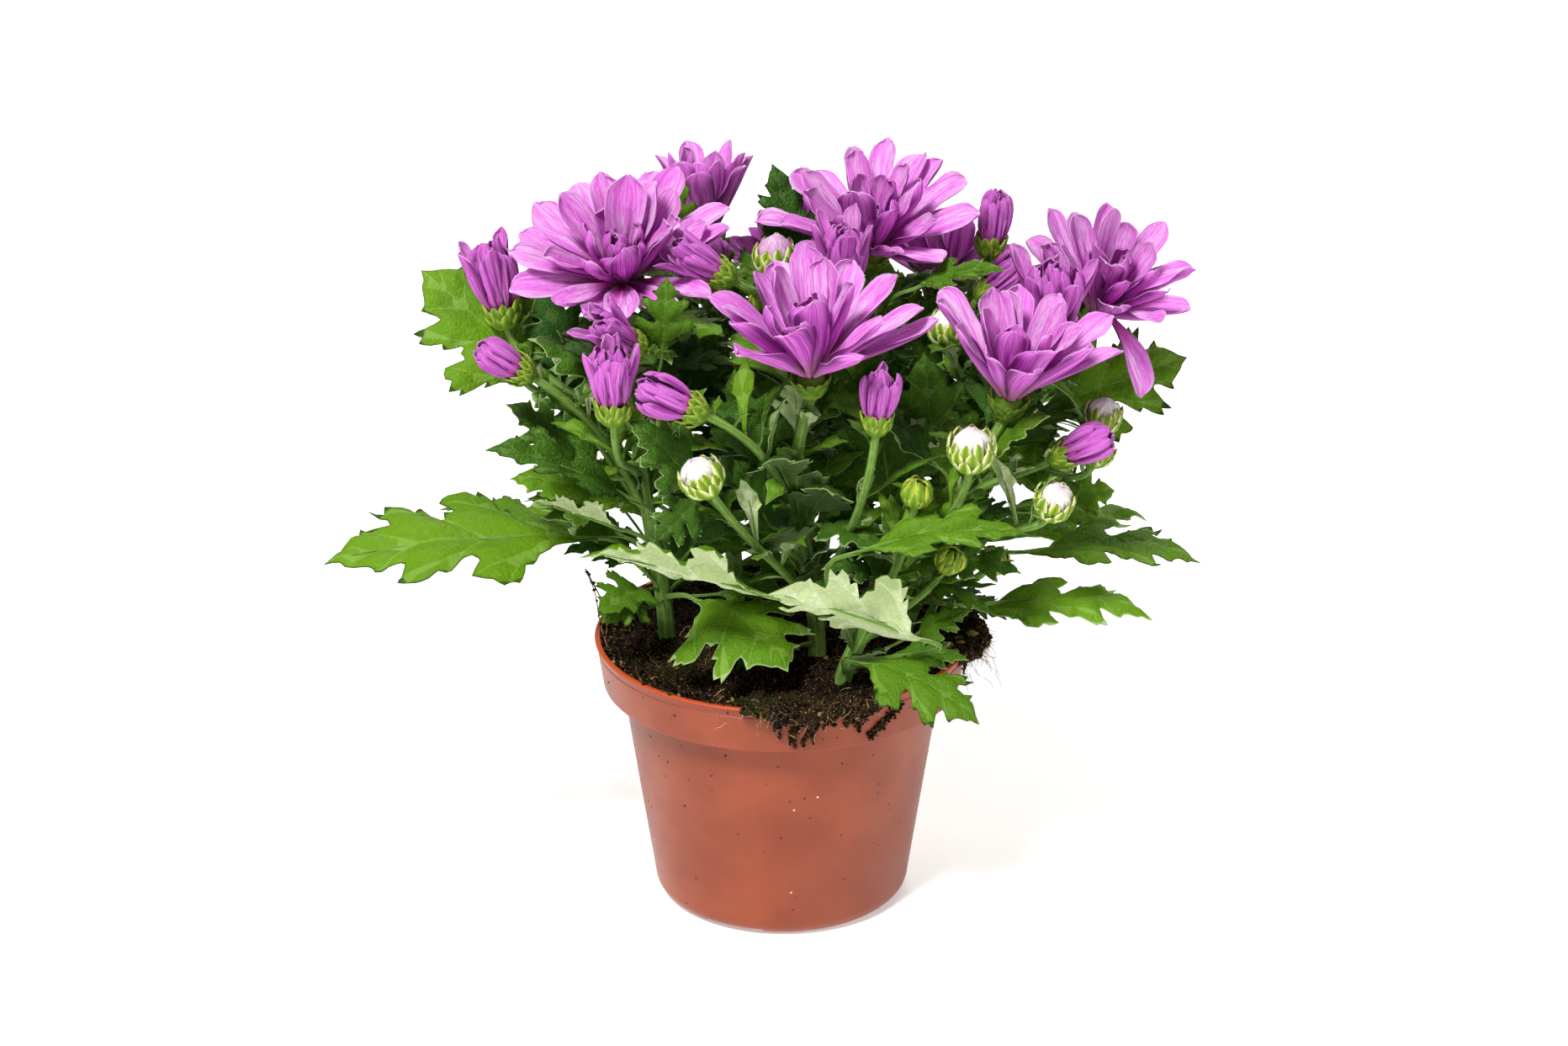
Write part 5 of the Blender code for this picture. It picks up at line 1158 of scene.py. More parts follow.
def make_stems(looks, obstacles):
    """Stalks, green cups and leaves of each leafy stem."""
    plans = [LeafPlan(n, LEAF_OUTLINE, LEAF_VEINS, 0.042, 2) for n in range(5)]
    small = [LeafPlan(10 + n, LEAF_OUTLINE, LEAF_VEINS[::3], 0.080, 1) for n in range(4)]
    slim = [LeafPlan(20 + n, SLIM_OUTLINE, SLIM_VEINS, 0.090, 1) for n in range(4)]
    for stem in STEMS:
        rng, course, green, blades = random.Random(stem), stalk_course(stem), Skin(), Skin()
        twigs = add_stalks(green, stem, course, rng)
        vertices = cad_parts[stem].data.vertices
        corners = KDTree(len(vertices))
        for i, vertex in enumerate(vertices):
            corners.insert(vertex.co, i)
        corners.balance()
        for name, (share, foot, tip, *shape) in LEAVES[stem].items():
            leaf = settled_leaf(Leaf(course(share), metres(foot), metres(tip), *shape), corners)
            if leaf:
                add_leaf(blades, leaf, rng.choice(plans), rng.random(), leaf_tone_and_shade(name, rng))
                add_petiole(green, leaf, rng.random())
        for leaf, choices, tone in more_leaves(obstacles, stem, course, twigs, rng, plans, small, slim):
            if leaf:
                add_leaf(blades, leaf, rng.choice(choices), rng.random(), tone * rng.uniform(0.3, 1.3))
                add_petiole(green, leaf, rng.random(), 6, 4)
        make_piece(stem + "_stalks", green, [looks["stalk"], looks["bract"]], [stem])
        make_piece(stem + "_leaves", blades, [looks["leaf"], looks["leaf_under"]], [stem])


def add_petiole(skin, leaf, seed, count=10, sides=6):
    """The leaf's own stalk, which runs on under the blade as its midrib."""
    forward, _, up = leaf.axes()
    half = PETIOLE_HALF * min(leaf.length() / 0.040, 1.0)
    steps = np.linspace(0, 1, count)
    path = eased_path(leaf.start, leaf.foot - leaf.start, leaf.foot, forward, count)
    along = 0.05 + 0.85 * steps
    under = leaf.at(along, along * 0) - np.array(up) * LEAF_THICKNESS * 0.9
    path += [Vector(p) for p in under]
    radii = list(half * (1 - 0.25 * steps)) + list(half * 0.75 * (1 - 0.8 * steps))
    add_tube(skin, path, radii, sides, seed, ribs=0.05)


def make_looks():
    """Every material by its name."""
    rules = (
        petal_look, pale_petal_look, leaf_look, leaf_under_look, stalk_look, bract_look,
        pot_look, peat_look, fibre_look,
    )
    return {look.name: look.material for look in [rule() for rule in rules]}


def petal_look():
    """Orchid above with magenta veins, pale at its edges, and dusty mauve with straight veins below."""
    look = Look("petal", 0.55, 0.15)
    along, out, seed = look.parts_of("grain")
    depth, side, edge = look.parts_of("facts")
    shift = look.times(seed, 37.0)
    streaks = look.streaks(along, 1.4, out, 5.5, shift, 2.2, 3.0)
    fine = look.streaks(along, 5.0, out, 16.0, shift, 2.0, 2.0)
    clouds = look.noise(look.join(along, out, shift), 1.6, 1.0)
    upper = look.mix(look.step(clouds, 0.35, 0.65), (0.955, 0.64, 0.955), (0.9, 0.345, 0.88))
    veins = look.times(look.step(streaks, 0.48, 0.6), 0.65)
    upper = look.tint(upper, (0.78, 0.115, 0.72), veins)
    upper = look.tint(upper, (0.74, 0.05, 0.6), look.step(fine, 0.52, 0.64), 0.65)
    # Deep magenta towards the root: partly the petal's own colour, partly painted shade in the throat
    upper = look.tint(upper, (0.47, 0.008, 0.29), look.step(along, 0.52, 0.08), 0.95)
    # Inner petals darker by depth: partly their own deeper colour, partly painted shade deep in the head
    inner = look.mix(look.step(fine, 0.4, 0.7), (0.72, 0.085, 0.64), (0.32, 0.005, 0.23))
    upper = look.tint(upper, inner, depth, 0.9)
    stripes = look.streaks(along, 0.5, out, 9.0, shift, 2.6, 2.0)
    lower = look.mix(look.step(stripes, 0.44, 0.6), (0.86, 0.29, 0.82), (0.55, 0.07, 0.52))
    # Painted shade: dark slits along the lower side's edges, for the shade between the petals of half-open
    # heads
    slit_shade = look.times(look.step(look.math("ABSOLUTE", out), 0.35, 0.9), look.step(along, 0.98, 0.8))
    lower = look.tint(lower, (0.18, 0.01, 0.18), slit_shade, 0.85)
    lower = look.tint(lower, (0.6, 0.26, 0.34), look.step(along, 0.4, 0.05), 0.6)
    # The lower side darker by depth: partly the petals' own colour, partly painted shade deep in the head
    lower = look.tint(lower, (0.42, 0.03, 0.4), depth, 0.35)
    both = look.mix(side, upper, lower)
    # Pale edges towards the tip: partly the petal's paler tip, partly a painted rim highlight
    pale = look.times(look.step(edge, 0.75, 1.0), look.step(along, 0.55, 0.98))
    both = look.tint(both, (0.98, 0.78, 0.97), pale, 0.45)
    return look.finished(both, look.math("ADD", streaks, look.times(fine, 0.6)), 0.0003, 0.8, 0.3)


def pale_petal_look():
    """Cream white with a blush of pink at the top and faint lines."""
    look = Look("pale_petal", 0.5)
    along, out, seed = look.parts_of("grain")
    lines = look.streaks(along, 0.8, out, 7.0, look.times(seed, 37.0), 2.4, 2.0)
    base = look.mix(look.step(lines, 0.4, 0.7), (0.96, 0.94, 0.88), (0.88, 0.86, 0.76))
    base = look.tint(base, (0.62, 0.68, 0.33), look.step(along, 0.5, 0.1))
    pink = look.parts_of("facts")[0]
    blush = look.times(look.step(along, 0.72, 1.0), look.step(lines, 0.25, 0.6))
    base = look.tint(base, (0.66, 0.29, 0.6), blush, 0.5)
    base = look.tint(base, (0.62, 0.18, 0.56), look.times(pink, look.step(lines, 0.2, 0.6)))
    return look.finished(base, lines, 0.0002, 0.6, 0.25)


def leaf_look():
    """Matt green above: pale veins, a fine net between them, fine specks and a dark edge."""
    look = Look("leaf", 0.5, 0.12)
    along, out, seed = look.parts_of("grain")
    vein, edge, tone = look.parts_of("facts")
    flat = look.join(along, out, look.times(seed, 29.0))
    clouds = look.noise(flat, 3.0, 3.0)
    specks = look.noise(flat, 70.0, 2.0)
    net = look.cells(flat, 26.0, "DISTANCE_TO_EDGE")
    # Bright to dark green by tone: olive and bluish leaves have their own colour, the darkest ones painted
    # shade
    base = look.mix(tone, (0.145, 0.305, 0.007), (0.018, 0.07, 0.011))
    base = look.tint(base, (0.042, 0.14, 0.004), look.step(clouds, 0.42, 0.7), 0.45)
    base = look.tint(base, (0.21, 0.39, 0.03), look.step(specks, 0.5, 0.66), 0.25)
    clear = look.math("MULTIPLY_ADD", tone, -0.2, 0.34)
    mesh = look.times(look.step(net, 0.045, 0.0), look.times(clear, 0.4))
    base = look.tint(base, (0.2, 0.38, 0.05), mesh)
    base = look.tint(base, (0.33, 0.52, 0.11), look.times(look.step(vein, 0.0055, 0.001), clear))
    rim = look.mix(look.step(seed, 0.58, 0.62), (0.022, 0.045, 0.01), (0.42, 0.56, 0.23))
    base = look.tint(base, rim, look.step(edge, 0.008, 0.001), 0.75)
    height = look.math("ADD", look.times(look.step(net, 0.0, 0.25), 0.5), specks)
    return look.finished(base, height, 0.0003, 0.9, 0.2)


def leaf_under_look():
    """Pale sage below, with raised whitish veins, and deeper green as painted shade on the leaves of high
    tone.
    """
    look = Look("leaf_under", 0.75, 0.2)
    along, out, seed = look.parts_of("grain")
    vein, _, tone = look.parts_of("facts")
    flat = look.join(along, out, look.times(seed, 29.0))
    clouds = look.noise(flat, 4.0, 3.0)
    net = look.cells(flat, 24.0, "DISTANCE_TO_EDGE")
    base = look.mix(look.step(clouds, 0.3, 0.7), (0.42, 0.54, 0.21), (0.57, 0.67, 0.33))
    base = look.tint(base, (0.64, 0.73, 0.44), look.step(net, 0.06, 0.0), 0.3)
    base = look.tint(base, (0.7, 0.78, 0.5), look.step(vein, 0.012, 0.003), 0.6)
    # Painted shade: the undersides of the dark-toned, shaded leaves deeper green
    base = look.tint(base, (0.095, 0.185, 0.04), look.step(tone, 0.25, 0.8), 0.85)
    return look.finished(base, look.step(net, 0.15, 0.0), 0.0003, 0.7, 0.15)


def stalk_look():
    """Grey green stalks with pale ribs and fine down."""
    look = Look("stalk", 0.65, 0.3)
    run, turn, seed = look.parts_of("grain")
    ridge = look.parts_of("facts")[0]
    place = look.join(look.times(run, 3.0), look.times(turn, 6.0), look.times(seed, 13.0))
    clouds = look.noise(place, 1.2, 3.0)
    down = look.noise(look.join(run, look.times(turn, 8.0), seed), 24.0, 2.0)
    base = look.mix(look.step(clouds, 0.35, 0.7), (0.105, 0.23, 0.02), (0.18, 0.33, 0.05))
    base = look.tint(base, (0.34, 0.49, 0.14), look.step(ridge, 0.55, 1.0), 0.55)
    base = look.tint(base, (0.38, 0.48, 0.23), look.step(down, 0.55, 0.75), 0.3)
    return look.finished(base, down, 0.0003, 0.6)


def bract_look():
    """Lime green bracts with a dark middle and a pale papery rim."""
    look = Look("bract", 0.6, 0.15)
    along, out, seed = look.parts_of("grain")
    depth = look.parts_of("facts")[0]
    lines = look.streaks(along, 0.8, out, 5.0, look.times(seed, 37.0), 2.0, 2.0)
    base = look.mix(look.step(lines, 0.35, 0.65), (0.15, 0.29, 0.01), (0.4, 0.47, 0.03))
    base = look.tint(base, (0.06, 0.15, 0.014), depth, 0.8)
    middle = look.times(look.step(look.math("ABSOLUTE", out), 0.55, 0.05), 0.7)
    base = look.tint(base, (0.06, 0.16, 0.012), middle)
    pale = look.math("MULTIPLY_ADD", depth, -0.8, 0.9)
    rim = look.mix(look.step(depth, 0.1, 0.3), (0.82, 0.85, 0.48), (0.52, 0.58, 0.09))
    margin = look.step(look.math("ABSOLUTE", out), 0.4, 0.95)
    base = look.tint(base, rim, look.times(margin, pale))
    red = look.times(look.step(along, 0.86, 1.0), look.step(lines, 0.45, 0.6))
    base = look.tint(base, (0.45, 0.19, 0.09), red, 0.5)
    return look.finished(base, lines, 0.0002, 0.6)


def pot_look():
    """Moulded terracotta plastic: a faint mottle, tiny specks, a redder lip and a painted rim highlight."""
    look = Look("terracotta_plastic", 0.42, 0.25)
    place = look.node("TexCoord", {}, "Object")
    _, _, height = look.split(place)
    clouds = look.noise(place, 40.0, 3.0)
    fine = look.noise(place, 900.0, 2.0)
    dark = look.cells(place, 120.0)
    pale = look.cells(look.node("VectorMath", {0: place, 1: (7.0, 3.0, 5.0)}), 100.0)
    base = look.mix(look.step(clouds, 0.3, 0.7), (0.292, 0.062, 0.025), (0.232, 0.046, 0.019))
    smudge = look.noise(place, 16.0, 4.0, 0.65)
    base = look.tint(base, (0.24, 0.07, 0.04), look.step(smudge, 0.48, 0.72), 0.3)
    lip = look.step(height, POT_HEIGHT - 2.6 * BEAD, POT_HEIGHT - 2.0 * BEAD)
    base = look.tint(base, (0.24, 0.04, 0.014), lip, 0.85)
    # Painted highlight: a thin bright orange line along the top of the rim
    line = look.times(look.step(height, POT_HEIGHT - 0.55 * BEAD, POT_HEIGHT - 0.35 * BEAD), 0.7)
    base = look.tint(base, (0.52, 0.07, 0.012), line)
    base = look.tint(base, (0.06, 0.022, 0.014), look.step(dark, 0.075, 0.05), 0.8)
    base = look.tint(base, (0.8, 0.64, 0.56), look.step(pale, 0.05, 0.03), 0.6)
    shine = look.math("MULTIPLY_ADD", clouds, 0.16, 0.33)
    look.tree.links.new(shine, look.shader.inputs["Roughness"])
    return look.finished(base, fine, 0.0001, 0.25)


def peat_look():
    """Moist peat: black brown, with brown and a few golden flecks."""
    look = Look("peat", 0.92, 0.08)
    place = look.node("TexCoord", {}, "Object")
    seed = look.parts_of("grain")[2]
    coarse = look.noise(place, 300.0, 4.0)
    fine = look.noise(place, 1500.0, 3.0)
    grit = look.noise(place, 800.0, 3.0)
    base = look.mix(look.step(grit, 0.44, 0.6), (0.003, 0.002, 0.0015), (0.028, 0.015, 0.008))
    base = look.tint(base, (0.04, 0.021, 0.01), look.step(coarse, 0.52, 0.62), 0.7)
    base = look.tint(base, (0.056, 0.026, 0.01), look.step(seed, 0.74, 0.84), 0.8)
    base = look.tint(base, (0.38, 0.25, 0.08), look.step(seed, 0.93, 0.94), 0.9)
    base = look.tint(base, (0.29, 0.2, 0.065), look.step(fine, 0.6, 0.66), 0.8)
    moss = look.times(look.step(look.noise(place, 45.0, 3.0), 0.55, 0.7), look.step(fine, 0.4, 0.6))
    base = look.tint(base, (0.06, 0.08, 0.012), moss, 0.35)
    return look.finished(base, look.math("ADD", grit, fine), 0.0015, 1.0)


def fibre_look():
    """Root hairs and peat fibre, straw to reddish brown."""
    look = Look("fibre", 0.7)
    run, _, seed = look.parts_of("grain")
    tone = look.noise(look.join(run, look.times(seed, 20.0), 0.0), 6.0, 2.0)
    base = look.mix(look.step(seed, 0.3, 0.7), (0.15, 0.062, 0.022), (0.47, 0.31, 0.11))
    return look.finished(look.tint(base, (0.075, 0.036, 0.016), look.step(tone, 0.4, 0.7)))


def arc(centre, radius, start, end, count):
    """Points of a section's round corner, between two angles in degrees."""
    angles = [math.radians(start + (end - start) * i / (count - 1)) for i in range(count)]
    return [(centre[0] + radius * math.cos(a), centre[1] + radius * math.sin(a)) for a in angles]


def pot_profile():
    """The pot's section: up the outside, over the lip, and down the inside."""
    collar_foot, floor = POT_HEIGHT - COLLAR_HEIGHT, CHANNEL_HEIGHT + FLOOR_THICKNESS
    foot = arc((BASE_RADIUS - BASE_ROUND, BASE_ROUND), BASE_ROUND, -90, 0, 9)
    step, half = 0.0004, BEAD / 2
    slope = (RIM_RADIUS - COLLAR_RADIUS) / COLLAR_HEIGHT
    groove_height = POT_HEIGHT - 2.9 * BEAD
    groove_radius = COLLAR_RADIUS + (groove_height - collar_foot) * slope - half / 2
    outside = foot + [
        (BODY_TOP_RADIUS - 0.0001, collar_foot - step),
        (BODY_TOP_RADIUS, collar_foot),
        (COLLAR_RADIUS - half, collar_foot),
    ]
    outside += arc((COLLAR_RADIUS - half, collar_foot + half), half, -70, 0, 5)
    outside += [
        (groove_radius, groove_height),
        (groove_radius - 0.00018, groove_height + 0.00025),
        (groove_radius, groove_height + 0.00050),
        (RIM_RADIUS - half, POT_HEIGHT - BEAD * 1.6),
    ]
    outside += arc((RIM_RADIUS - half, POT_HEIGHT - half), half, -50, 90, 8)
    inner_lip = RIM_RADIUS - half - WALL
    inside = arc((inner_lip + half, POT_HEIGHT - half), half, 100, 180, 5) + [
        (COLLAR_RADIUS - WALL, collar_foot + WALL * 1.5),
        (BODY_TOP_RADIUS - WALL, collar_foot + WALL),
        (BASE_RADIUS - WALL, BASE_ROUND),
        (BASE_RADIUS - BASE_ROUND, floor),
    ]
    return outside, inside


def channel_shape(turn):
    """A water channel across the foot, as a prism that narrows upwards."""
    half, slope = CHANNEL_WIDTH / 2, CHANNEL_HEIGHT
    section = ((-half, -slope), (half, -slope), (half - slope, slope), (slope - half, slope))
    shape = bmesh.new()
    inner, outer = (
        [shape.verts.new(turn @ Vector((x, y, z))) for y, z in section]
        for x in (CENTRE_PAD_RADIUS, BASE_RADIUS + WALL)
    )
    for i in range(4):
        j = (i + 1) % 4
        shape.faces.new((inner[i], inner[j], outer[j], outer[i]))
    shape.faces.new(inner)
    shape.faces.new(outer)
    return shape


def drain_shape(turn):
    """A drain hole in a channel."""
    shape = bmesh.new()
    place = turn @ Matrix.Translation((DRAIN_RING_RADIUS, 0, 0))
    height = 4 * (CHANNEL_HEIGHT + FLOOR_THICKNESS)
    bmesh.ops.create_cone(
        shape, cap_ends=True, segments=28, radius1=DRAIN_RADIUS, radius2=DRAIN_RADIUS,
        depth=height, matrix=place,
    )
    return shape


def make_pot(look):
    """The turned shell, then its water channels and drain holes cut out of the foot."""
    outside, inside = pot_profile()
    floor = CHANNEL_HEIGHT + FLOOR_THICKNESS
    profile = [(CENTRE_RADIUS, 0.0)] + outside + inside + [(CENTRE_RADIUS, floor)]
    points, faces, _ = turned_body(Matrix.Identity(4), profile, POT_SIDES)
    skin = Skin()
    skin.add(points, faces, (0, 0, 0), (0, 0, 0))
    pot = make_piece("pot_shell", skin, [look], ["pot"], POT_SHARP)
    cutters = []
    for k in range(CHANNELS):
        turn = Matrix.Rotation(math.radians(CHANNEL_TURN + 360 * k / CHANNELS), 4, "Z")
        for shape in (channel_shape(turn), drain_shape(turn)):
            bmesh.ops.recalc_face_normals(shape, faces=shape.faces)
            mesh = bpy.data.meshes.new("cutter")
            shape.to_mesh(mesh)
            shape.free()
            cutters.append(bpy.data.objects.new("cutter", mesh))
    for cutter in cutters:
        bpy.context.scene.collection.objects.link(cutter)
        cut = pot.modifiers.new("cut", "BOOLEAN")
        cut.operation, cut.object = "DIFFERENCE", cutter
    bpy.context.view_layer.update()
    mesh = bpy.data.meshes.new_from_object(pot.evaluated_get(bpy.context.evaluated_depsgraph_get()))
    pot.modifiers.clear()
    pot.data = mesh
    mesh.set_sharp_from_angle(angle=math.radians(POT_SHARP))
    for cutter in cutters:
        bpy.data.objects.remove(cutter)


def soil_height(x, y):
    """The soil's top: uneven, and heaped towards the front right."""
    heap = math.exp(-((x - 0.020) ** 2 + (y + 0.044) ** 2) / 0.0006) * 0.0040
    bank = float(faded(math.hypot(x, y), 0.040, 0.054)) * (0.0028 + 0.0020 * max(y, 0.0) / 0.055)
    return SOIL_TOP + max(heap, bank) + 0.0018 * noise.noise(Vector((x * 90, y * 90, 0.3)))


def rough_height(x, y):
    """The soil's top with its crumbs."""
    coarse = noise.noise(Vector((x * 330, y * 330, 1.7))) * 0.0014
    fine = noise.noise(Vector((x * 900, y * 900, 4.1))) * 0.0009
    return soil_height(x, y) + coarse + fine


def crumb_shapes(count):
    """A few irregular lumps of unit size: points and triangles."""
    found = []
    for n in range(count):
        ball = bmesh.new()
        bmesh.ops.create_icosphere(ball, subdivisions=1, radius=1.0)
        points = []
        for vertex in ball.verts:
            way = vertex.co.normalized()
            rough = 1 + 0.7 * noise.noise(way * 1.3 + Vector((n * 5.0, 0, 0)))
            rough += 0.4 * noise.noise(way * 3.1 + Vector((0, n * 5.0, 0)))
            points.append(way * rough)
        faces = [[v.index for v in face.verts] for face in ball.faces]
        found.append((np.array([tuple(p) for p in points]), np.array(faces)))
        ball.free()
    return found


def add_crumb(skin, shapes, rng, centre, size, seed=None):
    """A lump of peat. Its look reads the seed: flecks from a high one."""
    points, faces = rng.choice(shapes)
    angle = rng.uniform(0, 6.28)
    turn = Matrix.Rotation(angle, 3, Vector((rng.random(), rng.random(), 1)).normalized())
    stretch = np.array([rng.uniform(0.7, 1.3), rng.uniform(0.7, 1.3), rng.uniform(0.5, 1.0)])
    placed = (points * stretch) @ np.array(turn).T * size + np.array(centre)
    skin.add(placed, [faces], (0, 0, rng.random() if seed is None else seed), (0, 0, 0))


def spill_station(stations, share):
    """Azimuth, hang and reach at a share of a spill's course. The hang is ragged."""
    spot = curve_point([Vector(row) for row in stations], share)
    ragged = 0.34 + 0.5 * noise.noise(Vector((spot.x * 0.3, 2.0, 0.0)))
    return spot.x, max(spot.y * ragged, 0.0), max(spot.z * 0.5, 0.0)


def spill_point(azimuth, hang, out, share):
    """A point of a spill's outer surface, from the soil over the rim to its hanging hem."""
    free = GAP + 0.0002
    top, outside = POT_HEIGHT + GAP, RIM_RADIUS + free
    section = (
        (0.0520, SOIL_TOP + 0.003 + out * 0.3),
        (0.0570, top + 0.0015 + out * 0.25),
        (outside + out * 0.4, top + 0.0012 + out * 0.2),
        (outside + out, top - hang * 0.35),
        (outside + out * 0.75, top - hang * 0.8),
        (outside + 0.0003, top - hang),
    )
    spot = curve_point([Vector((r, 0, z)) for r, z in section], share)
    angle = math.radians(azimuth)
    return Vector((spot.x * math.cos(angle), spot.x * math.sin(angle), spot.z))


def add_spill(skin, fibres, shapes, rng, stations, wild):
    """Peat that spilled over the rim: a lumpy crust, crumbs on it, and clumps that hang from it."""
    rows, columns = 60, 18
    surface = np.zeros((rows, columns, 3))
    for i in range(rows):
        azimuth, hang, out = spill_station(stations, i / (rows - 1))
        for j in range(columns):
            spot = spill_point(azimuth, hang, out, j / (columns - 1))
            lump = (noise.noise(spot * 420) * 0.0022 + noise.noise(spot * 1100) * 0.0016) * wild
            away = Vector((spot.x, spot.y, 0)).normalized() * 0.8 + Vector((0, 0, 0.6))
            surface[i, j] = spot + away * lump * (0.3 if j > columns - 3 else 1.0)
    thick = np.full((rows, columns), 0.0012)
    skin.add(thick_sheet(surface, thick), sheet_faces(rows, columns), (0, 0, 0.3), (0, 0, 0))
    for _ in range(SPILL_CRUMBS):
        azimuth, hang, out = spill_station(stations, rng.uniform(0.0, 1.0))
        spot = spill_point(azimuth, hang, out, rng.uniform(0.0, 1.06))
        size = rng.uniform(0.0002, 0.0011) * rng.uniform(0.6, 1.3) * wild
        add_crumb(skin, shapes, rng, spot, size, rng.uniform(0.5 * wild - 0.4, 1.0))
    for _ in range(int(SPILL_FIBRES * wild)):
        azimuth, hang, out = spill_station(stations, rng.uniform(0.0, 1.0))
        spot = spill_point(azimuth, hang, out, rng.uniform(0.2, 1.0))
        away = Vector((spot.x, spot.y, -0.02)).normalized() + scatter(rng, 0.9)
        path = wandering(spot, away, rng, 6, rng.uniform(0.0002, 0.0006) * wild, 0.5, (0, 0, -0.1))
        add_tube(fibres, path, [0.00016 - 0.00002 * i for i in range(7)], 4, rng.random() * 0.6)
    course = [Vector(row) for row in stations]
    for _ in range(SPILL_STRANDS):
        spot = curve_point(course, rng.uniform(0.05, 0.95))
        drop, lean = spot.y * rng.uniform(0.5, 1.3), rng.uniform(-1.5, 1.5)
        steps = max(int(drop / STRAND_STEP), 4)
        path = []
        for i in range(steps):
            down = i / steps
            wide = (1 - down) * 2.0 + 0.25
            azimuth = spot.x + lean * down * 2 + rng.gauss(0, 0.5) * wide
            away = 0.0004 + 0.0011 * rng.random() * (1 - down) + 0.0004 * rng.random()
            place = on_pot(azimuth, POT_HEIGHT - drop * down, away)
            add_crumb(skin, shapes, rng, place, rng.uniform(0.00018, 0.00085) * (1.1 - 0.4 * down))
            path.append(place)
        add_tube(fibres, path[::3], [0.00008] * len(path[::3]), 4, rng.random())


def scatter(rng, size):
    """A random vector with no part longer than size."""
    return Vector([rng.uniform(-size, size) for _ in range(3)])


def wandering(start, way, rng, steps, stride, wild, pull):
    """Points of a thin root that wanders on and is pulled a given way."""
    path, spot, way = [Vector(start)], Vector(start), Vector(way).normalized()
    for _ in range(steps):
        way = (way + scatter(rng, wild) + Vector(pull)).normalized()
        spot = spot + way * stride
        path.append(spot.copy())
    return path


def pot_side(height):
    """The pot's outer radius at a height."""
    collar_foot = POT_HEIGHT - COLLAR_HEIGHT
    if height > collar_foot:
        return COLLAR_RADIUS + (RIM_RADIUS - COLLAR_RADIUS) * (height - collar_foot) / COLLAR_HEIGHT
    above, rise = height - BASE_ROUND, collar_foot - BASE_ROUND
    return BASE_RADIUS + (BODY_TOP_RADIUS - BASE_RADIUS) * above / rise


def on_pot(azimuth, height, away):
    """A point just outside the pot's wall."""
    angle, radius = math.radians(azimuth), pot_side(height) + away
    return Vector((radius * math.cos(angle), radius * math.sin(angle), height))


def add_fibres(fibres, rng, places):
    """Thin fibres that stick out of the soil. Each place gives a start, a way out, a length and a count."""
    for start, way, length, count in places:
        for _ in range(count):
            spot = Vector(start) + scatter(rng, 0.006)
            lean = Vector(way) + scatter(rng, 0.8)
            path = wandering(spot, lean, rng, 9, length * rng.uniform(0.5, 1.0) / 9, 0.35, (0, 0, -0.05))
            add_tube(fibres, path, [0.00011 - 0.000007 * i for i in range(10)], 4, rng.random())


def add_root_ball(skin):
    """The root ball, snug in the pot, with its rough top."""
    collar_foot = POT_HEIGHT - COLLAR_HEIGHT
    wall = [(CENTRE_RADIUS, SOIL_BOTTOM)]
    for radius, height in (
        (BASE_RADIUS - BASE_ROUND - GAP, SOIL_BOTTOM),
        (BASE_RADIUS - WALL - GAP, BASE_ROUND + GAP * 3),
        (BODY_TOP_RADIUS - WALL - GAP, collar_foot + WALL + GAP * 2),
        (COLLAR_RADIUS - WALL - GAP * 2, collar_foot + WALL * 1.5 + GAP * 3),
    ):
        wall.append((radius * SOIL_SNUG, height))
    top = [(radius, SOIL_TOP) for radius in np.linspace(SOIL_TOP_RADIUS, CENTRE_RADIUS, SOIL_RINGS)]
    points, faces, _ = turned_body(Matrix.Identity(4), wall + top, SOIL_SIDES)
    for point in points[len(wall) * SOIL_SIDES:]:
        point[2] = rough_height(point[0], point[1])
    skin.add(points, faces, (0, 0, 0.3), (0, 0, 0))


def strew_top(skin, shapes, rng):
    """Crumbs all over the soil's top."""
    for _ in range(SOIL_CRUMBS):
        radius, angle = 0.0555 * math.sqrt(rng.random()), rng.uniform(0, 2 * math.pi)
        x, y = radius * math.cos(angle), radius * math.sin(angle)
        size = rng.uniform(0.0003, 0.0013) * rng.uniform(0.6, 1.3)
        add_crumb(skin, shapes, rng, (x, y, soil_height(x, y) + size * 0.3), size)


def strew_pot(skin, shapes, rng):
    """A streak of crumbs on the collar, crumbs along the rim, and grains on the pot's wall."""
    for k in range(STREAK_CRUMBS):
        share = k / STREAK_CRUMBS
        place = on_pot(-62 + 10 * share + rng.uniform(-1, 1), POT_HEIGHT - 0.0125 + 0.0080 * share, 0.0004)
        place = place + Vector((0, 0, rng.gauss(0, 0.0009)))
        add_crumb(skin, shapes, rng, place, rng.uniform(0.0002, 0.0008))
    for _ in range(RIM_CRUMBS):
        angle = rng.uniform(0, 2 * math.pi)
        front = max(0.5 - 0.5 * math.cos(angle - math.radians(45)), 0.9 * math.sin(angle))
        radius = 0.0535 + rng.uniform(0.0, 0.0045 + 0.0012 * front)
        spot = Vector((math.cos(angle), math.sin(angle), 0)) * radius
        spot.z = SOIL_TOP + 0.0020 + rng.uniform(0.3, 1.0) * 0.0032 * front
        add_crumb(skin, shapes, rng, spot, rng.uniform(0.0003, 0.0011))
    for _ in range(WALL_GRAINS):
        height = POT_HEIGHT - 0.001 - 0.075 * rng.random() ** 1.8
        place = on_pot(rng.uniform(0, 360), height, 0.0)
        add_crumb(skin, shapes, rng, place, rng.uniform(0.00012, 0.00034))


def add_left_roots(skin, fibres, shapes, rng):
    """Two wiry roots with crumbs on them."""
    for course in LEFT_ROOTS:
        points = [metres(place) for place in course]
        path = [curve_point(points, i / 24) for i in range(25)]
        add_tube(fibres, path, [0.00030 - 0.000005 * i for i in range(25)], 6, 0.05)
        for spot in path[2::3]:
            add_crumb(skin, shapes, rng, spot, rng.uniform(0.0003, 0.0008))


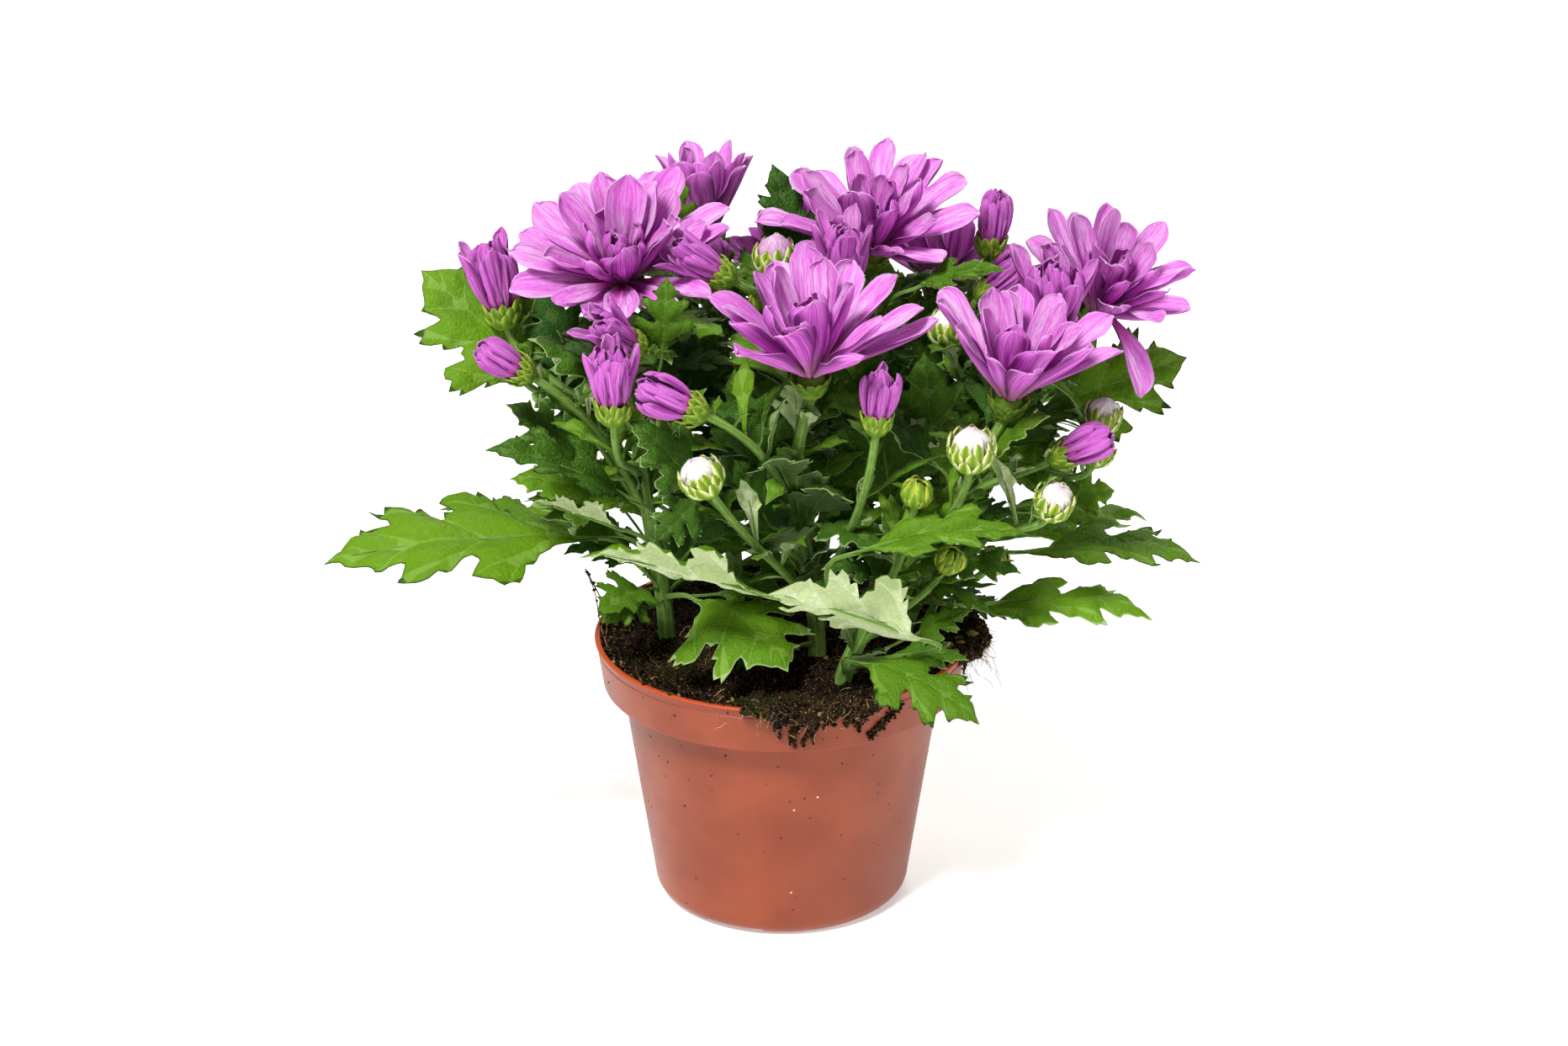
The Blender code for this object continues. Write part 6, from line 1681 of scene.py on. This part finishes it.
def fibre_places(rng):
    """Where fibres stick out: at the spills, along the rim's front, and all over the soil's top."""
    places = [
        ((0.0600, -0.004, 0.088), (1.0, -0.1, 0.0), 0.006, 30),
        ((0.0600, -0.014, 0.084), (0.6, -0.5, -0.6), 0.006, 16),
        ((0.0620, -0.010, 0.086), (0.5, -0.5, -0.9), 0.011, 8),
        ((-0.0560, -0.020, 0.088), (-0.3, -0.2, 1.2), 0.016, 3),
    ]
    for azimuth in range(-104, -50, 6):
        spot = on_pot(azimuth, POT_HEIGHT - 0.001, 0.001)
        places.append((spot, (spot.x * 8, spot.y * 8, -0.3), 0.006, 6))
    for _ in range(TOP_FIBRES):
        angle, radius = rng.uniform(0, 2 * math.pi), rng.uniform(0.01, 0.055)
        x, y = radius * math.cos(angle), radius * math.sin(angle)
        places.append(((x, y, soil_height(x, y)), (0, 0, 0.3), 0.009, 3))
    return places


def make_soil(looks):
    """The root ball with its rough top, crumbs, the two spills over the rim and loose fibres."""
    rng = random.Random("soil")
    skin, fibres, shapes = Skin(), Skin(), crumb_shapes(14)
    add_root_ball(skin)
    strew_top(skin, shapes, rng)
    for stations, wild in zip(SPILLS, SPILL_WILDNESS):
        add_spill(skin, fibres, shapes, rng, stations, wild)
    strew_pot(skin, shapes, rng)
    add_left_roots(skin, fibres, shapes, rng)
    add_fibres(fibres, rng, fibre_places(rng))
    make_piece("soil_peat", skin, [looks["peat"]], ["soil"], 80)
    make_piece("soil_fibres", fibres, [looks["fibre"]], ["soil"], 80)


def make_stage():
    """A plain pale floor, soft lights, and the camera."""
    scene = bpy.context.scene
    mesh = bpy.data.meshes.new("floor")
    corners = [(x * FLOOR_HALF, y * FLOOR_HALF, 0) for x, y in ((-1, -1), (1, -1), (1, 1), (-1, 1))]
    mesh.from_pydata(corners, [], [(0, 1, 2, 3)])
    look = Look("floor", 0.9)
    look.shader.inputs["Base Color"].default_value = (0.92, 0.92, 0.92, 1)
    look.shader.inputs["Emission Color"].default_value = (1, 1, 1, 1)
    look.shader.inputs["Emission Strength"].default_value = FLOOR_GLOW
    mesh.materials.append(look.material)
    floor = bpy.data.objects.new("floor", mesh)
    scene.collection.objects.link(floor)
    scene.world = bpy.data.worlds.new("studio")
    scene.world.use_nodes = True
    background = scene.world.node_tree.nodes["Background"]
    background.inputs["Color"].default_value = (1, 1, 1, 1)
    background.inputs["Strength"].default_value = SKY_STRENGTH
    for name, place, size, power in LIGHTS:
        light = bpy.data.lights.new(name, "AREA")
        light.energy, light.size = power, size
        lamp = bpy.data.objects.new(name, light)
        lamp.location = place
        lamp.rotation_euler = (Vector(LIGHT_AIM) - Vector(place)).to_track_quat("-Z", "Y").to_euler()
        scene.collection.objects.link(lamp)
    camera = bpy.data.objects.new("camera", bpy.data.cameras.new("camera"))
    camera.location = CAMERA_PLACE
    camera.rotation_euler = (math.radians(90 - CAMERA_DIP), 0, 0)
    camera.data.lens, camera.data.sensor_width = LENS, SENSOR
    scene.collection.objects.link(camera)
    scene.camera = camera
    scene.view_settings.view_transform = "Standard"


looks = make_looks()
make_stage()
make_pot(looks["terracotta_plastic"])
make_soil(looks)
obstacles = Obstacles()
make_stems(looks, obstacles)
add_petals(obstacles, looks)
